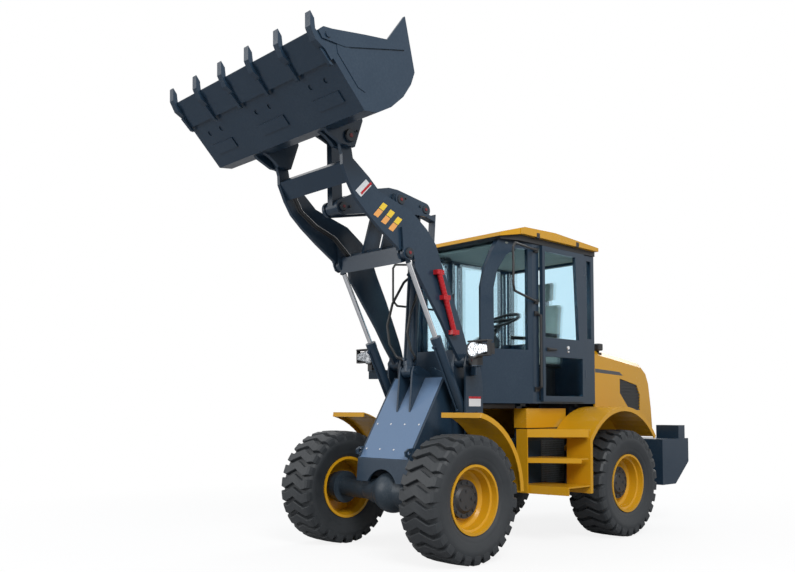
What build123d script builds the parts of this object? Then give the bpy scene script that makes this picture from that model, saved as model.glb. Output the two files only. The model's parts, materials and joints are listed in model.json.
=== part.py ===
from build123d import *
import math
import os

# Articulated wheel loader with a linkage bucket. Millimetres, +Z up, floor at Z 0.
# The front looks towards -Y and the machine's left side is +X.
# A station is a distance behind the front axle; side outlines are lists of (station, height).

# ---- layout ----
front_axle_y = -1052
wheelbase = 2291
track = 1598
tyre_radius = 530
tyre_width = 394
flange_radius = 287
rim_width = 346
lug_height = 32
stub_radius = 50
pivot_station = 1145
sheet = 8
running_gap = 6

# ---- boom, bucket and linkage pins as (station, height) ----
boom_pin = (465, 1700)
bucket_pin = (-940, 3420)
rocker_pin = (-50, 3130)
rocker_front_pin = (-680, 2970)
rocker_rear_pin = (309, 3105)
link_pin = (-700, 3600)
lift_foot_pin = (470, 1180)
lift_rod_pin = (-262, 2580)
tilt_foot_pin = (200, 1605)
arm_inner = 410
arm_plate = 35
pin_radius = 28
rod_play = 0.5
pin_play = 0.5

# ---- bucket ----
bucket_half = 990
bucket_plate = 14
side_plate = 18

# ---- front frame ----
frame_half = 335
frame_plate = 24
tower_inner = 367
tower_outer = 490
tower_plate = 20

# ---- cab ----
cab_floor_z = 1320
cab_top_z = 2860
cab_front = 700
cab_front_half = 430
cab_corner = 1300
cab_half = 560
cab_rear = 2345
cab_wall = 45
belt_z = 1800
glass_thick = 6

hub_z = tyre_radius
rear_axle = wheelbase

os.makedirs("parts", exist_ok=True)

side = Plane(origin=(0, front_axle_y, 0), x_dir=(0, 1, 0), z_dir=(1, 0, 0))
both_sides = [("left", 1), ("right", -1)]


def at_station(station):
    return front_axle_y + station


def plate(outline, low, high, mode=Mode.ADD):
    """Closed side outline, extruded from x = low to x = high."""
    with BuildSketch(side.offset(low)) as face:
        with BuildLine():
            Polyline(*outline, close=True)
        make_face()
    extrude(face.sketch, amount=high - low, mode=mode)


def pair(outline, low, high, mode=Mode.ADD):
    """The same plate on the left and on the right."""
    plate(outline, low, high, mode)
    plate(outline, -high, -low, mode)


def slab(outline, low, high, mode=Mode.ADD):
    """Closed plan outline of (x, station), extruded from z = low to z = high."""
    with BuildSketch(Plane(origin=(0, front_axle_y, low))) as face:
        with BuildLine():
            Polyline(*outline, close=True)
        make_face()
    extrude(face.sketch, amount=high - low, mode=mode)


def block(xs, stations, zs, mode=Mode.ADD):
    """Straight block between two x, two station and two z values."""
    middle = ((xs[0] + xs[1]) / 2, at_station((stations[0] + stations[1]) / 2), (zs[0] + zs[1]) / 2)
    with Locations(middle):
        Box(xs[1] - xs[0], stations[1] - stations[0], zs[1] - zs[0], mode=mode)


def rod(start, end, radius, mode=Mode.ADD):
    """Round bar between two points of (x, station, z)."""
    first = Vector(start[0], at_station(start[1]), start[2])
    last = Vector(end[0], at_station(end[1]), end[2])
    with BuildSketch(Plane(origin=first, z_dir=last - first)) as ring:
        Circle(radius)
    extrude(ring.sketch, amount=(last - first).length, mode=mode)


def pipe(points, radius):
    """Bent round bar or hose through a list of (x, station, z), with rounded corners."""
    path = [Vector(x, at_station(station), z) for x, station, z in points]
    shorter = min((b - a).length for a, b in zip(path, path[1:]))
    with BuildLine() as way:
        FilletPolyline(*path, radius=max(radius * 1.2, shorter * 0.42))
    with BuildSketch(Plane(origin=path[0], z_dir=path[1] - path[0])) as ring:
        Circle(radius)
    sweep(ring.sketch, path=way.wires()[0])


def cross_pin(pin, low, high, radius, mode=Mode.ADD):
    """Round bar along X through a (station, height) pin centre."""
    rod((low, pin[0], pin[1]), (high, pin[0], pin[1]), radius, mode)


def hull(circles, low, high, mode=Mode.ADD):
    """Plate whose outline wraps a chain of (pin, radius) circles."""
    for (first, r1), (last, r2) in zip(circles, circles[1:]):
        along = math.atan2(last[1] - first[1], last[0] - first[0])
        reach = math.dist(first, last)
        lean = math.acos((r1 - r2) / reach)
        corners = []
        for centre, radius, turn in [
            (first, r1, lean), (last, r2, lean), (last, r2, -lean), (first, r1, -lean),
        ]:
            angle = along + turn
            corners.append((centre[0] + radius * math.cos(angle), centre[1] + radius * math.sin(angle)))
        plate(corners, low, high, mode)
    for centre, radius in circles:
        cross_pin(centre, low, high, radius, mode)


def save(name, part):
    part.label = name
    export_step(part, f"parts/{name}.step")


# ---- wheels: tyre, rim and hub, each made once and placed four times ----
lug_count = 24
lug_half = 44
lug_zigzag = [(-178, 18), (0, -42), (178, 18)]  # (across the tread, along it)
lug_turn = 7  # brings the middle of one lug onto the floor
tread_half = 150
tread_radius = tyre_radius - lug_height
lug_root = 24
bead_half = rim_width / 2
disc_face = 18


def tyre_ring(sides, radius, low, high, fall=0.0, mode=Mode.ADD):
    """Many-sided disc from one z to another, shrinking by fall on the way."""
    way = 1 if high > low else -1
    reach = abs(high - low)
    with BuildSketch(Plane(origin=(0, 0, low), z_dir=(0, 0, way))) as face:
        with Locations(Rotation(0, 0, 180 / sides + lug_turn)):
            RegularPolygon(radius, sides, major_radius=False)
    extrude(face.sketch, amount=reach, taper=math.degrees(math.atan(fall / reach)), mode=mode)


with BuildPart() as tyre:
    tyre_ring(lug_count, tread_radius, -tread_half, tread_half)
    for way in (1, -1):
        tyre_ring(lug_count, tread_radius, way * tread_half, way * tyre_width / 2, 92)
    lug = [(a, b - lug_half) for a, b in lug_zigzag] + [(a, b + lug_half) for a, b in reversed(lug_zigzag)]
    for i in range(lug_count):
        turn = math.radians(360 * i / lug_count + lug_turn)
        out = Vector(math.cos(turn), math.sin(turn), 0)
        with BuildSketch(Plane(origin=out * (tread_radius - lug_root), x_dir=(0, 0, 1), z_dir=out)) as foot:
            with BuildLine():
                Polyline(*lug, close=True)
            make_face()
        extrude(foot.sketch, amount=lug_height + lug_root - 6, taper=9)
    for way in (1, -1):
        tyre_ring(13, flange_radius + 60, way * tyre_width / 2, way * (bead_half - 12), 60, Mode.SUBTRACT)
    tyre_ring(lug_count, flange_radius - 12, -tyre_width, tyre_width, mode=Mode.SUBTRACT)

with BuildPart() as rim:
    with BuildSketch(Plane.XZ) as section:
        with BuildLine():
            Polyline(
                (flange_radius, -bead_half),
                (flange_radius, -bead_half + 12),
                (flange_radius - 12, -bead_half + 12),
                (flange_radius - 12, bead_half - 12),
                (flange_radius, bead_half - 12),
                (flange_radius, bead_half),
                (flange_radius - 20, bead_half),
                (flange_radius - 28, bead_half - 48),
                (flange_radius - 44, bead_half - 56),
                (flange_radius - 50, disc_face + 20),
                (flange_radius - 74, disc_face),
                (110, disc_face),
                (110, disc_face - 16),
                (flange_radius - 48, disc_face - 16),
                (flange_radius - 44, -bead_half + 60),
                (flange_radius - 24, -bead_half),
                close=True,
            )
        make_face()
    revolve(axis=Axis.Z)

hub_flange = disc_face + 38
hub_cap = disc_face + 58
bolt_circle = 137
with BuildPart() as hub:
    with BuildSketch(Plane.XZ) as section:
        with BuildLine():
            Polyline(
                (0, hub_cap), (96, hub_cap), (118, hub_flange), (158, hub_flange),
                (158, disc_face), (110, disc_face),
                (110, disc_face - 16), (135, disc_face - 16), (135, -60), (stub_radius + pin_play, -60),
                (stub_radius + pin_play, -20), (0, -20), close=True,
            )
        make_face()
    revolve(axis=Axis.Z)
    for i in range(12):
        turn = math.radians(30 * i + 15)
        with BuildSketch(Plane.XY.offset(hub_flange)) as head:
            with Locations((bolt_circle * math.cos(turn), bolt_circle * math.sin(turn))):
                RegularPolygon(12, 6)
        extrude(head.sketch, amount=9)
    for turn in (0, 90, 180, 270):
        with BuildSketch(Plane.XY.offset(hub_cap)) as plug:
            with Locations((64 * math.cos(math.radians(turn)), 64 * math.sin(math.radians(turn)))):
                RegularPolygon(13, 6)
        extrude(plug.sketch, amount=7)

for axle, station in [("front", 0), ("rear", rear_axle)]:
    for hand, sign in both_sides:
        centre = (sign * track / 2, at_station(station), hub_z)
        # the tyres all turn the same way round, so that the lugs point forwards at the top on both sides
        save(f"tyre_{axle}_{hand}", tyre.part.moved(Location(centre, (0, 90, 0))))
        save(f"rim_{axle}_{hand}", rim.part.moved(Location(centre, (0, 90 * sign, 0))))
        save(f"hub_{axle}_{hand}", hub.part.moved(Location(centre, (0, 90 * sign, 0))))

# ---- axles ----
hub_inner = track / 2 - 60 - running_gap
for name, station in [("front_axle", 0), ("rear_axle", rear_axle)]:
    with BuildPart() as axle:
        with Locations((0, at_station(station), hub_z)):
            Sphere(188)
        for _, sign in both_sides:
            with BuildSketch(Plane(origin=(sign * 90, at_station(station), hub_z), z_dir=(sign, 0, 0))):
                Circle(150)
            with BuildSketch(Plane(origin=(sign * 330, at_station(station), hub_z), z_dir=(sign, 0, 0))):
                Circle(88)
            loft()
            rod((sign * 330, station, hub_z), (sign * (hub_inner - 60), station, hub_z), 88)
            rod((sign * (hub_inner - 70), station, hub_z), (sign * hub_inner, station, hub_z), 150)
            rod((sign * hub_inner, station, hub_z), (sign * (hub_inner + 44), station, hub_z), stub_radius)
            saddle = (sign * 345, sign * 225) if sign < 0 else (225, 345)
            block(saddle, (station - 90, station + 90), (hub_z + 40, hub_z + 112))
    save(name, axle.part)

# ---- front frame ----
frame_bottom = hub_z + 112
front_foot = (-148, 620)
slope_foot = (-130, 819)
slope_head = (322, 1560)
lug_radius = 75
front_lugs = [(590, 630), (910, 950)]
cross_plate = (830, 854)
steer_z = 760
steer_eye_station = 905
steer_foot_station = 1560
steer_lugs = [(706, 722), (798, 814)]
cover_rear = 500
with BuildPart() as front_frame:
    pair(
        [
            front_foot, slope_foot, slope_head, (cover_rear, 1560), (560, 1300), (cross_plate[1], 1000),
            (cross_plate[1], 560), (300, 560), (220, frame_bottom), (-100, frame_bottom),
            (-100, front_foot[1]),
        ],
        frame_half - frame_plate, frame_half,
    )
    # lower front plate with its arch over the differential
    front_face = [
        front_foot, slope_foot, (slope_foot[0] + 20, slope_foot[1]),
        (front_foot[0] + 20, front_foot[1]),
    ]
    plate(front_face, -frame_half + frame_plate, frame_half - frame_plate)
    rod((0, -190, hub_z), (0, -90, hub_z), 205, Mode.SUBTRACT)
    # sloped cover plate and roof plate between the side plates
    cover_half = frame_half - frame_plate
    cover = [
        slope_foot, slope_head, (cover_rear, 1560), (cover_rear, 1548), (slope_head[0] + 8, 1548),
        (-117, 819),
    ]
    plate(cover, -cover_half, cover_half)
    # rear cross plate and the lugs of the articulation
    block((-cover_half, cover_half), cross_plate, (560, 1000))
    for _, sign in both_sides:
        pocket = (195, 305) if sign > 0 else (-305, -195)
        block(
            pocket, (cross_plate[0] - 5, cross_plate[1] + 5), (steer_lugs[0][1], steer_lugs[1][0]),
            Mode.SUBTRACT,
        )
    for low, high in front_lugs:
        slab(
            [
                (-150, cross_plate[1]), (150, cross_plate[1]), (lug_radius, pivot_station),
                (-lug_radius, pivot_station),
            ],
            low, high,
        )
        rod((0, pivot_station, low), (0, pivot_station, high), lug_radius)
        rod((0, pivot_station, low), (0, pivot_station, high), pin_radius + 4 + pin_play, Mode.SUBTRACT)
    # eyes for the steering rods
    for _, sign in both_sides:
        for low, high in steer_lugs:
            ear = [
                (sign * 200, cross_plate[1]), (sign * 300, cross_plate[1]), (sign * 280, 920),
                (sign * 220, 920),
            ]
            slab(ear, low, high)
            rod((sign * 250, steer_eye_station, low), (sign * 250, steer_eye_station, high), 34)
    # towers that carry the boom
    tower = [
        (400, 1010), (400, 1480), (395, 1650), (420, 1760), (510, 1760), (600, 1640), (630, 1480),
        (630, 1010),
    ]
    pair(tower, frame_half, tower_inner)
    pair(tower, tower_outer, tower_outer + tower_plate)
    pair([(606, 1010), (606, 1560), (624, 1560), (624, 1010)], tower_inner, tower_outer)
    pair([(400, 1010), (400, 1028), (606, 1028), (606, 1010)], tower_inner, tower_outer)
    for pin, radius in [(boom_pin, pin_radius), (lift_foot_pin, pin_radius)]:
        for _, sign in both_sides:
            cross_pin(pin, sign * (frame_half + 2), sign * (tower_outer + tower_plate + 14), radius)
            cross_pin(pin, sign * (tower_outer + tower_plate), sign * (tower_outer + tower_plate + 16), 48)
    # bracket of the tilt cylinder's foot
    bracket = [(120, 1240), (150, 1600), (170, 1655), (235, 1660), (400, 1590), (400, 1550), (320, 1550)]
    pair(bracket, 72, 92)
    cross_pin(tilt_foot_pin, -104, 104, pin_radius)
    for _, sign in both_sides:
        web = [(92, 1556), (92, 1650), (130, 1645), (300, 1575), (300, 1556)]
        with BuildSketch(Plane(origin=(0, at_station(392), 0), x_dir=(1, 0, 0), z_dir=(0, -1, 0))) as face:
            with BuildLine():
                Polyline(*[(sign * x, z) for x, z in web], close=True)
            make_face()
        extrude(face.sketch, amount=12)
    # lifting eyes at the foot of the slope
    for _, sign in both_sides:
        eye = (sign * 320 - 10, sign * 320 + 10)
        plate([(-110, 840), (-160, 860), (-165, 900), (-125, 925), (-60, 930)], eye[0], eye[1])
        rod((eye[0] - 5, -125, 888), (eye[1] + 5, -125, 888), 17, Mode.SUBTRACT)
save("front_frame", front_frame.part)

# ---- front fenders ----
front_arch = (-55, 560)
front_arch_radius = 690
fender_low = tower_outer + tower_plate
fender_high = 964


def arch_points(centre, radius, start, stop, steps):
    """Points on an arc, from angle start to angle stop in degrees."""
    angles = [math.radians(start + (stop - start) * i / steps) for i in range(steps + 1)]
    return [(centre[0] + radius * math.cos(a), centre[1] + radius * math.sin(a)) for a in angles]


with BuildPart() as front_fenders:
    outer_arc = arch_points(front_arch, front_arch_radius, 78, 0, 12)
    skin_arc = arch_points(front_arch, front_arch_radius - sheet, 78, 0, 12)
    lip_arc = arch_points(front_arch, front_arch_radius - 42, 78, 0, 12)
    pair(outer_arc + skin_arc[::-1], fender_low, fender_high - sheet)
    pair(outer_arc + lip_arc[::-1], fender_high - sheet, fender_high)
    front_lip = [(outer_arc[0][0] - 2, outer_arc[0][1]), (86, 1192), (94, 1190), (100, outer_arc[0][1] - 10)]
    pair(front_lip, fender_low, fender_high)
    pair([(430, 960), (430, 1010), (500, 945), (500, 900)], fender_low, fender_low + 40)
save("front_fenders", front_fenders.part)

# ---- headlamps on brackets from the towers ----
with BuildPart() as lamp_brackets:
    for _, sign in both_sides:
        outer = sign * (tower_outer + tower_plate)
        far = sign * 715
        slab([(outer, 455), (outer, 505), (sign * 560, 505), (sign * 560, 455)], 1560, 1572)
        slab(
            [(outer, 505), (outer, 455), (sign * 655, 318), (far, 318), (far, 372), (sign * 560, 505)],
            1636, 1648,
        )
        slab([(outer, 455), (outer, 467), (sign * 700, 330), (sign * 700, 318)], 1560, 1636)
save("lamp_brackets", lamp_brackets.part)
lamp_spot = (688, 300, 1782)  # (x, front face's station, z)
lamp_radius = 78
with BuildPart() as headlamps:
    for _, sign in both_sides:
        x, station, z = lamp_spot
        rod((sign * x, station, z), (sign * x, station + 70, z), lamp_radius)
        rod((sign * x, station + 65, z), (sign * x, station + 110, z), lamp_radius - 24)
        # turn lamp beside it
        near, far = sign * (x + 40), sign * (x + 175)
        side_lamp = [(near, station + 20), (far, station + 34), (far, station + 80), (near, station + 90)]
        slab(side_lamp, z - 46, z + 50)
        near, far = sign * (x - 30), sign * (x + 30)
        foot = [(near, station + 20), (far, station + 20), (far, station + 90), (near, station + 90)]
        slab(foot, 1648, z - 50)
save("headlamps", headlamps.part)

# ---- boom ----
arm_outline = [
    (-968, 3285), (-964, 3205), (-900, 3070), (-829, 2960), (-715, 2860), (-554, 2742), (-357, 2613),
    (-318, 2545), (-205, 2525), (-128, 2422), (42, 2196), (170, 2027), (284, 1854), (366, 1745), (400, 1700),
    (430, 1660), (500, 1660), (520, 1728), (494, 1820), (452, 1933), (290, 2290), (161, 2539), (94, 2697),
    (-23, 2821), (-201, 2944), (-570, 3051), (-687, 3151), (-859, 3270), (-880, 3370), (-1000, 3375),
]
front_box = [(-872, 3083), (-965, 3218), (-891, 3269), (-798, 3134)]
rear_box = [(-290, 2500), (-300, 2640), (-170, 2700), (-100, 2560)]
with BuildPart() as boom:
    pair(arm_outline, arm_inner, arm_inner + arm_plate)
    pair(front_box, 0, arm_inner)
    pair(rear_box, 0, arm_inner)
    for _, sign in both_sides:
        cross_pin(bucket_pin, sign * (arm_inner - 8), sign * (arm_inner + arm_plate + 8), 78)
        cross_pin(boom_pin, sign * (tower_inner + running_gap), sign * (tower_outer - running_gap), 62)
    # notch where the lift rod's eye swings, with cheeks that hold its pin
    eye_path = [(6, 15), (0, 0), (-40, -70), (-73, -91), (-80, -79), (-45, -30)]
    for _, sign in both_sides:
        for shift in eye_path:
            spot = (lift_rod_pin[0] + shift[0], lift_rod_pin[1] + shift[1])
            cross_pin(spot, sign * (arm_inner - 8), sign * (arm_inner + arm_plate + 8), 58, Mode.SUBTRACT)
    notch = [(-400, 2540), (-380, 2465), (-160, 2465), (-172, 2560), (-188, 2612), (-320, 2612)]
    pair(notch, arm_inner - 8, arm_inner + arm_plate + 8, Mode.SUBTRACT)
    cheek = [(-340, 2790), (-322, 2580), (-300, 2535), (-262, 2520), (-224, 2535), (-202, 2580), (-180, 2790)]
    spacer = [(-340, 2790), (-330, 2680), (-190, 2680), (-180, 2790)]
    for low, high in [
        (arm_inner - 26, arm_inner - 8), (arm_inner + arm_plate + 8, arm_inner + arm_plate + 26),
    ]:
        pair(cheek, low, high)
    pair(spacer, arm_inner - 8, arm_inner)
    pair(spacer, arm_inner + arm_plate, arm_inner + arm_plate + 8)
    for _, sign in both_sides:
        cross_pin(lift_rod_pin, sign * (arm_inner - 32), sign * (arm_inner - 8), 34)
        cross_pin(lift_rod_pin, sign * (arm_inner + arm_plate + 8), sign * (arm_inner + arm_plate + 34), 34)
    # bracket of the rocker on the rear box
    post = [(-285, 2600), (-130, 3120), (-110, 3180), (10, 3180), (30, 3120), (-120, 2560)]
    pair(post, 110, 135)
    for _, sign in both_sides:
        cross_pin(rocker_pin, sign * 108, sign * 150, 62)
    cross_pin(rocker_pin, -108, 108, 40)
    for _, sign in both_sides:
        for pin, radius in [(boom_pin, pin_radius), (bucket_pin, pin_radius)]:
            bore = sorted([sign * 340, sign * 520])
            cross_pin(pin, bore[0], bore[1], radius + pin_play, Mode.SUBTRACT)
save("boom", boom.part)

# ---- red lift lock carried on the left arm ----
arm_face = arm_inner + arm_plate
with BuildPart() as lift_lock:
    rod((arm_face + 30, 92, 2475), (arm_face + 30, 300, 1920), 24)
    for station, height in [(100, 2455), (180, 2240), (292, 1942)]:
        block((arm_face, arm_face + 52), (station - 42, station + 42), (height - 20, height + 20))
save("lift_lock", lift_lock.part)

# ---- bucket ----
bucket_skin = [
    (-1650, 3882), (-1209, 3426), (-1083, 3442), (-945, 3518), (-820, 3629), (-740, 3745),
    (-701, 3849), (-803, 4255),
]
bucket_side = [
    (-1645, 3886), (-1599, 3925), (-1523, 3931), (-1219, 3983), (-990, 4017), (-812, 4255),
    (-803, 4255), (-701, 3849),
    (-740, 3745), (-820, 3629), (-945, 3518), (-1083, 3442), (-1209, 3426),
]
edge_strip = [
    (-1645, 3886), (-1599, 3925), (-1523, 3931), (-1219, 3983), (-821, 4042), (-815, 3990),
    (-1400, 3838), (-1608, 3840),
]
pad_depth = 10
side_pads = [
    (150, -95), (205, -60), (480, -60), (540, -95), (520, -160), (440, -190), (225, -190),
    (160, -150),
]
floor_pads = [(-0.72, 300), (0, 360), (0.72, 300)]  # (share of the half width, length across)


def floor_spot(back, below):
    """Point under the bucket floor, back from its lip and below its outer face."""
    lip, heel = bucket_skin[0], bucket_skin[1]
    reach = math.dist(lip, heel)
    way = ((heel[0] - lip[0]) / reach, (heel[1] - lip[1]) / reach)
    return (lip[0] + way[0] * back + way[1] * below, lip[1] + way[1] * back - way[0] * below)


with BuildPart() as bucket:
    plate(bucket_skin, -bucket_half, bucket_half)
    # ears for the arms and for the link, trimmed by the inside of the shell below
    inner_ear = [
        (-1205, 3450), (-1150, 3430), (-1100, 3412), (-1050, 3380), (-1010, 3345), (-880, 3345),
        (-800, 3575), (-830, 3660), (-1000, 3540),
    ]
    outer_ear = [
        (-1205, 3450), (-1150, 3405), (-1013, 3345), (-880, 3345), (-800, 3575), (-830, 3660),
        (-1000, 3540),
    ]
    for low, ear in [(arm_inner - 50, inner_ear), (arm_inner + arm_plate + 15, outer_ear)]:
        pair(ear, low, low + 35)
        for _, sign in both_sides:
            cross_pin(bucket_pin, sign * low, sign * (low + 35), 80)
    pair(
        [(-850, 3590), (-750, 3560), (-700, 3542), (-650, 3570), (-640, 3640), (-690, 3830), (-800, 3720)],
        72, 97,
    )
    with BuildSketch(side.offset(-bucket_half)) as hollow:
        with BuildLine():
            Polyline(*bucket_skin[1:-1], (-805, 4400), (-1900, 4400), (-1700, 3934), close=True)
        make_face()
        offset(amount=-bucket_plate, mode=Mode.REPLACE)
    extrude(hollow.sketch, amount=2 * bucket_half, mode=Mode.SUBTRACT)
    pair(bucket_side, bucket_half - side_plate, bucket_half)
    # edge strip with its bolt and long pad on each side plate
    pair(edge_strip, bucket_half, bucket_half + pad_depth)
    pair([floor_spot(back, below) for back, below in side_pads], bucket_half, bucket_half + pad_depth / 2)
    for _, sign in both_sides:
        cross_pin((-1560, 3880), sign * bucket_half, sign * (bucket_half + pad_depth + 10), 22)
    # wear pads and pairs of round dimples under the floor
    for share, length in floor_pads:
        middle = share * bucket_half
        pad = [floor_spot(430, 0), floor_spot(430, pad_depth), floor_spot(520, pad_depth), floor_spot(520, 0)]
        plate(pad, middle - length / 2, middle + length / 2)
        for shift in (-90, 90):
            low, high = floor_spot(330, 1), floor_spot(330, -8)
            rod((middle + shift, low[0], low[1]), (middle + shift, high[0], high[1]), 22, Mode.SUBTRACT)
    for _, sign in both_sides:
        cross_pin(bucket_pin, sign * (arm_inner - 50), sign * (arm_inner + arm_plate + 62), pin_radius)
        cross_pin(bucket_pin, sign * (arm_inner + arm_plate + 50), sign * (arm_inner + arm_plate + 66), 46)
        bore = sorted([sign * 60, sign * 110])
        cross_pin(link_pin, bore[0], bore[1], pin_radius, Mode.SUBTRACT)
save("bucket", bucket.part)

# ---- cutting edge with its six teeth ----
tooth_half = 30
tooth_count = 6
strap_half = 16


with BuildPart() as teeth:
    blade = [floor_spot(215, 0), floor_spot(0, 0), (-1664, 3893), (-1676, 3882), floor_spot(215, 24)]
    plate(blade, -bucket_half, bucket_half)
    tooth = [
        floor_spot(130, 22), floor_spot(40, 52), (-1706, 3900), (-1707, 4006), (-1672, 3962),
        (-1662, 3888), (-1670, 3876),
    ]
    strap = [floor_spot(255, 22), floor_spot(235, 40), floor_spot(110, 46), floor_spot(110, 20)]
    for i in range(tooth_count):
        middle = (bucket_half - tooth_half) * (2 * i / (tooth_count - 1) - 1)
        plate(tooth, middle - tooth_half, middle + tooth_half)
        plate(strap, middle - strap_half, middle + strap_half)
save("bucket_teeth", teeth.part)

# ---- rocker and link ----
with BuildPart() as rocker:
    for low, high in [(70, 100), (-100, -70)]:
        hull([(rocker_front_pin, 66), (rocker_pin, 98), (rocker_rear_pin, 62)], low, high)
        plate(
            [
                (-700, 3032), (-560, 3105), (-300, 3192), (-150, 3228), (-50, 3228), rocker_pin,
                rocker_front_pin,
            ],
            low, high,
        )
    rod((-68, rocker_pin[0], rocker_pin[1]), (68, rocker_pin[0], rocker_pin[1]), 66)
    rod((-70, rocker_pin[0], rocker_pin[1]), (70, rocker_pin[0], rocker_pin[1]), 66)
    cross_pin(rocker_pin, -101, 101, 40 + pin_play, Mode.SUBTRACT)
    cross_pin(rocker_front_pin, -112, 112, pin_radius)
save("rocker", rocker.part)
with BuildPart() as link:
    hull([(rocker_front_pin, 56), (link_pin, 50)], -32, 32)
    cross_pin(rocker_front_pin, -62, 62, 56)
    cross_pin(rocker_front_pin, -64, 64, pin_radius + pin_play, Mode.SUBTRACT)
    cross_pin(link_pin, -64, 64, pin_radius, Mode.SUBTRACT)
save("link", link.part)


# ---- cylinders ----
def cylinder_parts(
    name, foot, eye, middle, half, barrel_radius, rod_radius, barrel_length, eye_radius, bar=False,
):
    """Barrel with its foot eye, and rod with its eye, along the line from foot to eye in a side plane."""
    reach = math.dist(foot, eye)
    way = ((eye[0] - foot[0]) / reach, (eye[1] - foot[1]) / reach)

    def spot(distance, aside=0):
        return (
            middle, foot[0] + way[0] * distance - way[1] * aside,
            foot[1] + way[1] * distance + way[0] * aside,
        )

    with BuildPart() as barrel:
        cross_pin(foot, middle - half, middle + half, eye_radius)
        rod(spot(0), spot(eye_radius + 20), half - 2)
        rod(spot(eye_radius + 10), spot(barrel_length), barrel_radius)
        rod(spot(barrel_length - 50), spot(barrel_length), barrel_radius + 3)
        rod(spot(eye_radius + 14), spot(barrel_length + 2), rod_radius + rod_play, Mode.SUBTRACT)
        cross_pin(foot, middle - half - 5, middle + half + 5, pin_radius + pin_play, Mode.SUBTRACT)
        # oil pipe along the front of the barrel, with its two port blocks
        aside = barrel_radius + pipe_radius + pipe_gap
        rod(spot(eye_radius + 60, aside), spot(barrel_length - 60, aside), pipe_radius)
        for distance in [eye_radius + 60, barrel_length - 70]:
            rod(spot(distance, barrel_radius - 12), spot(distance, aside + pipe_radius + 4), pipe_radius + 6)
    save(f"{name}_barrel", barrel.part)
    with BuildPart() as ram:
        rod(spot(barrel_length - 42), spot(reach - 20), rod_radius)
        cross_pin(eye, middle - half, middle + half, eye_radius)
        if bar:
            # flat indicator bar that hangs behind the cylinder from the eye
            corner = [
                spot(reach, -30)[1:], spot(reach - 20, -190)[1:], spot(reach - 60, -198)[1:],
                spot(reach - 34, -30)[1:],
            ]
            plate(corner, middle - 40, middle + 40)
            hanger = [
                spot(reach + 10, -200), spot(reach + 10, -190), spot(reach - 780, -190),
                spot(reach - 780, -200),
            ]
            plate([place[1:] for place in hanger], middle - 40, middle + 40)
    save(f"{name}_rod", ram.part)


pipe_radius = 8
pipe_gap = 4
arm_middle = arm_inner + arm_plate / 2
for hand, sign in both_sides:
    cylinder_parts(f"lift_{hand}", lift_foot_pin, lift_rod_pin, sign * arm_middle, 20, 46, 22, 800, 48)
tilt_barrel_radius = 62
cylinder_parts("tilt", tilt_foot_pin, rocker_rear_pin, 0, 58, tilt_barrel_radius, 30, 960, 50, bar=True)

# ---- hoses of the tilt cylinder and of the bucket linkage ----
hose_radius = 12
long_loop = [
    (-40, 262, 2500), (-90, 215, 2440), (-165, 140, 2240), (-195, 105, 2040), (-175, 115, 1860),
    (-130, 160, 1745), (-45, 208, 1705),
]
short_loop = [
    (40, 250, 2330), (95, 190, 2270), (95, 120, 2120), (80, 95, 1950), (100, 120, 1800),
    (120, 165, 1725), (45, 208, 1705),
]
with BuildPart() as tilt_hoses:
    pipe(long_loop, hose_radius)
    pipe(short_loop, hose_radius)
    # both ends stop on the barrel
    rod((0, *tilt_foot_pin), (0, *rocker_rear_pin), tilt_barrel_radius, Mode.SUBTRACT)
save("tilt_hoses", tilt_hoses.part)
with BuildPart() as boom_hoses:
    for shift in (0, 34):
        x = shift - 352
        pipe(
            [(x, -880, 3120), (x, -800, 2985), (x, -640, 2880), (x, -420, 2800), (x + 20, -250, 2640)],
            hose_radius,
        )
    pair(front_box, 0, arm_inner, Mode.SUBTRACT)
    pair(rear_box, 0, arm_inner, Mode.SUBTRACT)
save("boom_hoses", boom_hoses.part)

steer_barrel = 400
for hand, sign in both_sides:
    x = sign * 250
    with BuildPart() as barrel:
        rod((x, steer_foot_station, steer_z - 24), (x, steer_foot_station, steer_z + 24), 34)
        rod((x, steer_foot_station, steer_z), (x, steer_foot_station - steer_barrel, steer_z), 34)
        rod(
            (x, steer_foot_station - 64, steer_z),
            (x, steer_foot_station - steer_barrel - 2, steer_z), 16 + rod_play, Mode.SUBTRACT,
        )
        rod(
            (x, steer_foot_station, steer_z - 40), (x, steer_foot_station, steer_z + 40),
            16 + pin_play, Mode.SUBTRACT,
        )
    save(f"steer_{hand}_barrel", barrel.part)
    with BuildPart() as ram:
        rod((x, steer_foot_station - 230, steer_z), (x, steer_eye_station + 20, steer_z), 16)
        rod((x, steer_eye_station, steer_z - 24), (x, steer_eye_station, steer_z + 24), 30)
    save(f"steer_{hand}_rod", ram.part)

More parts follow.
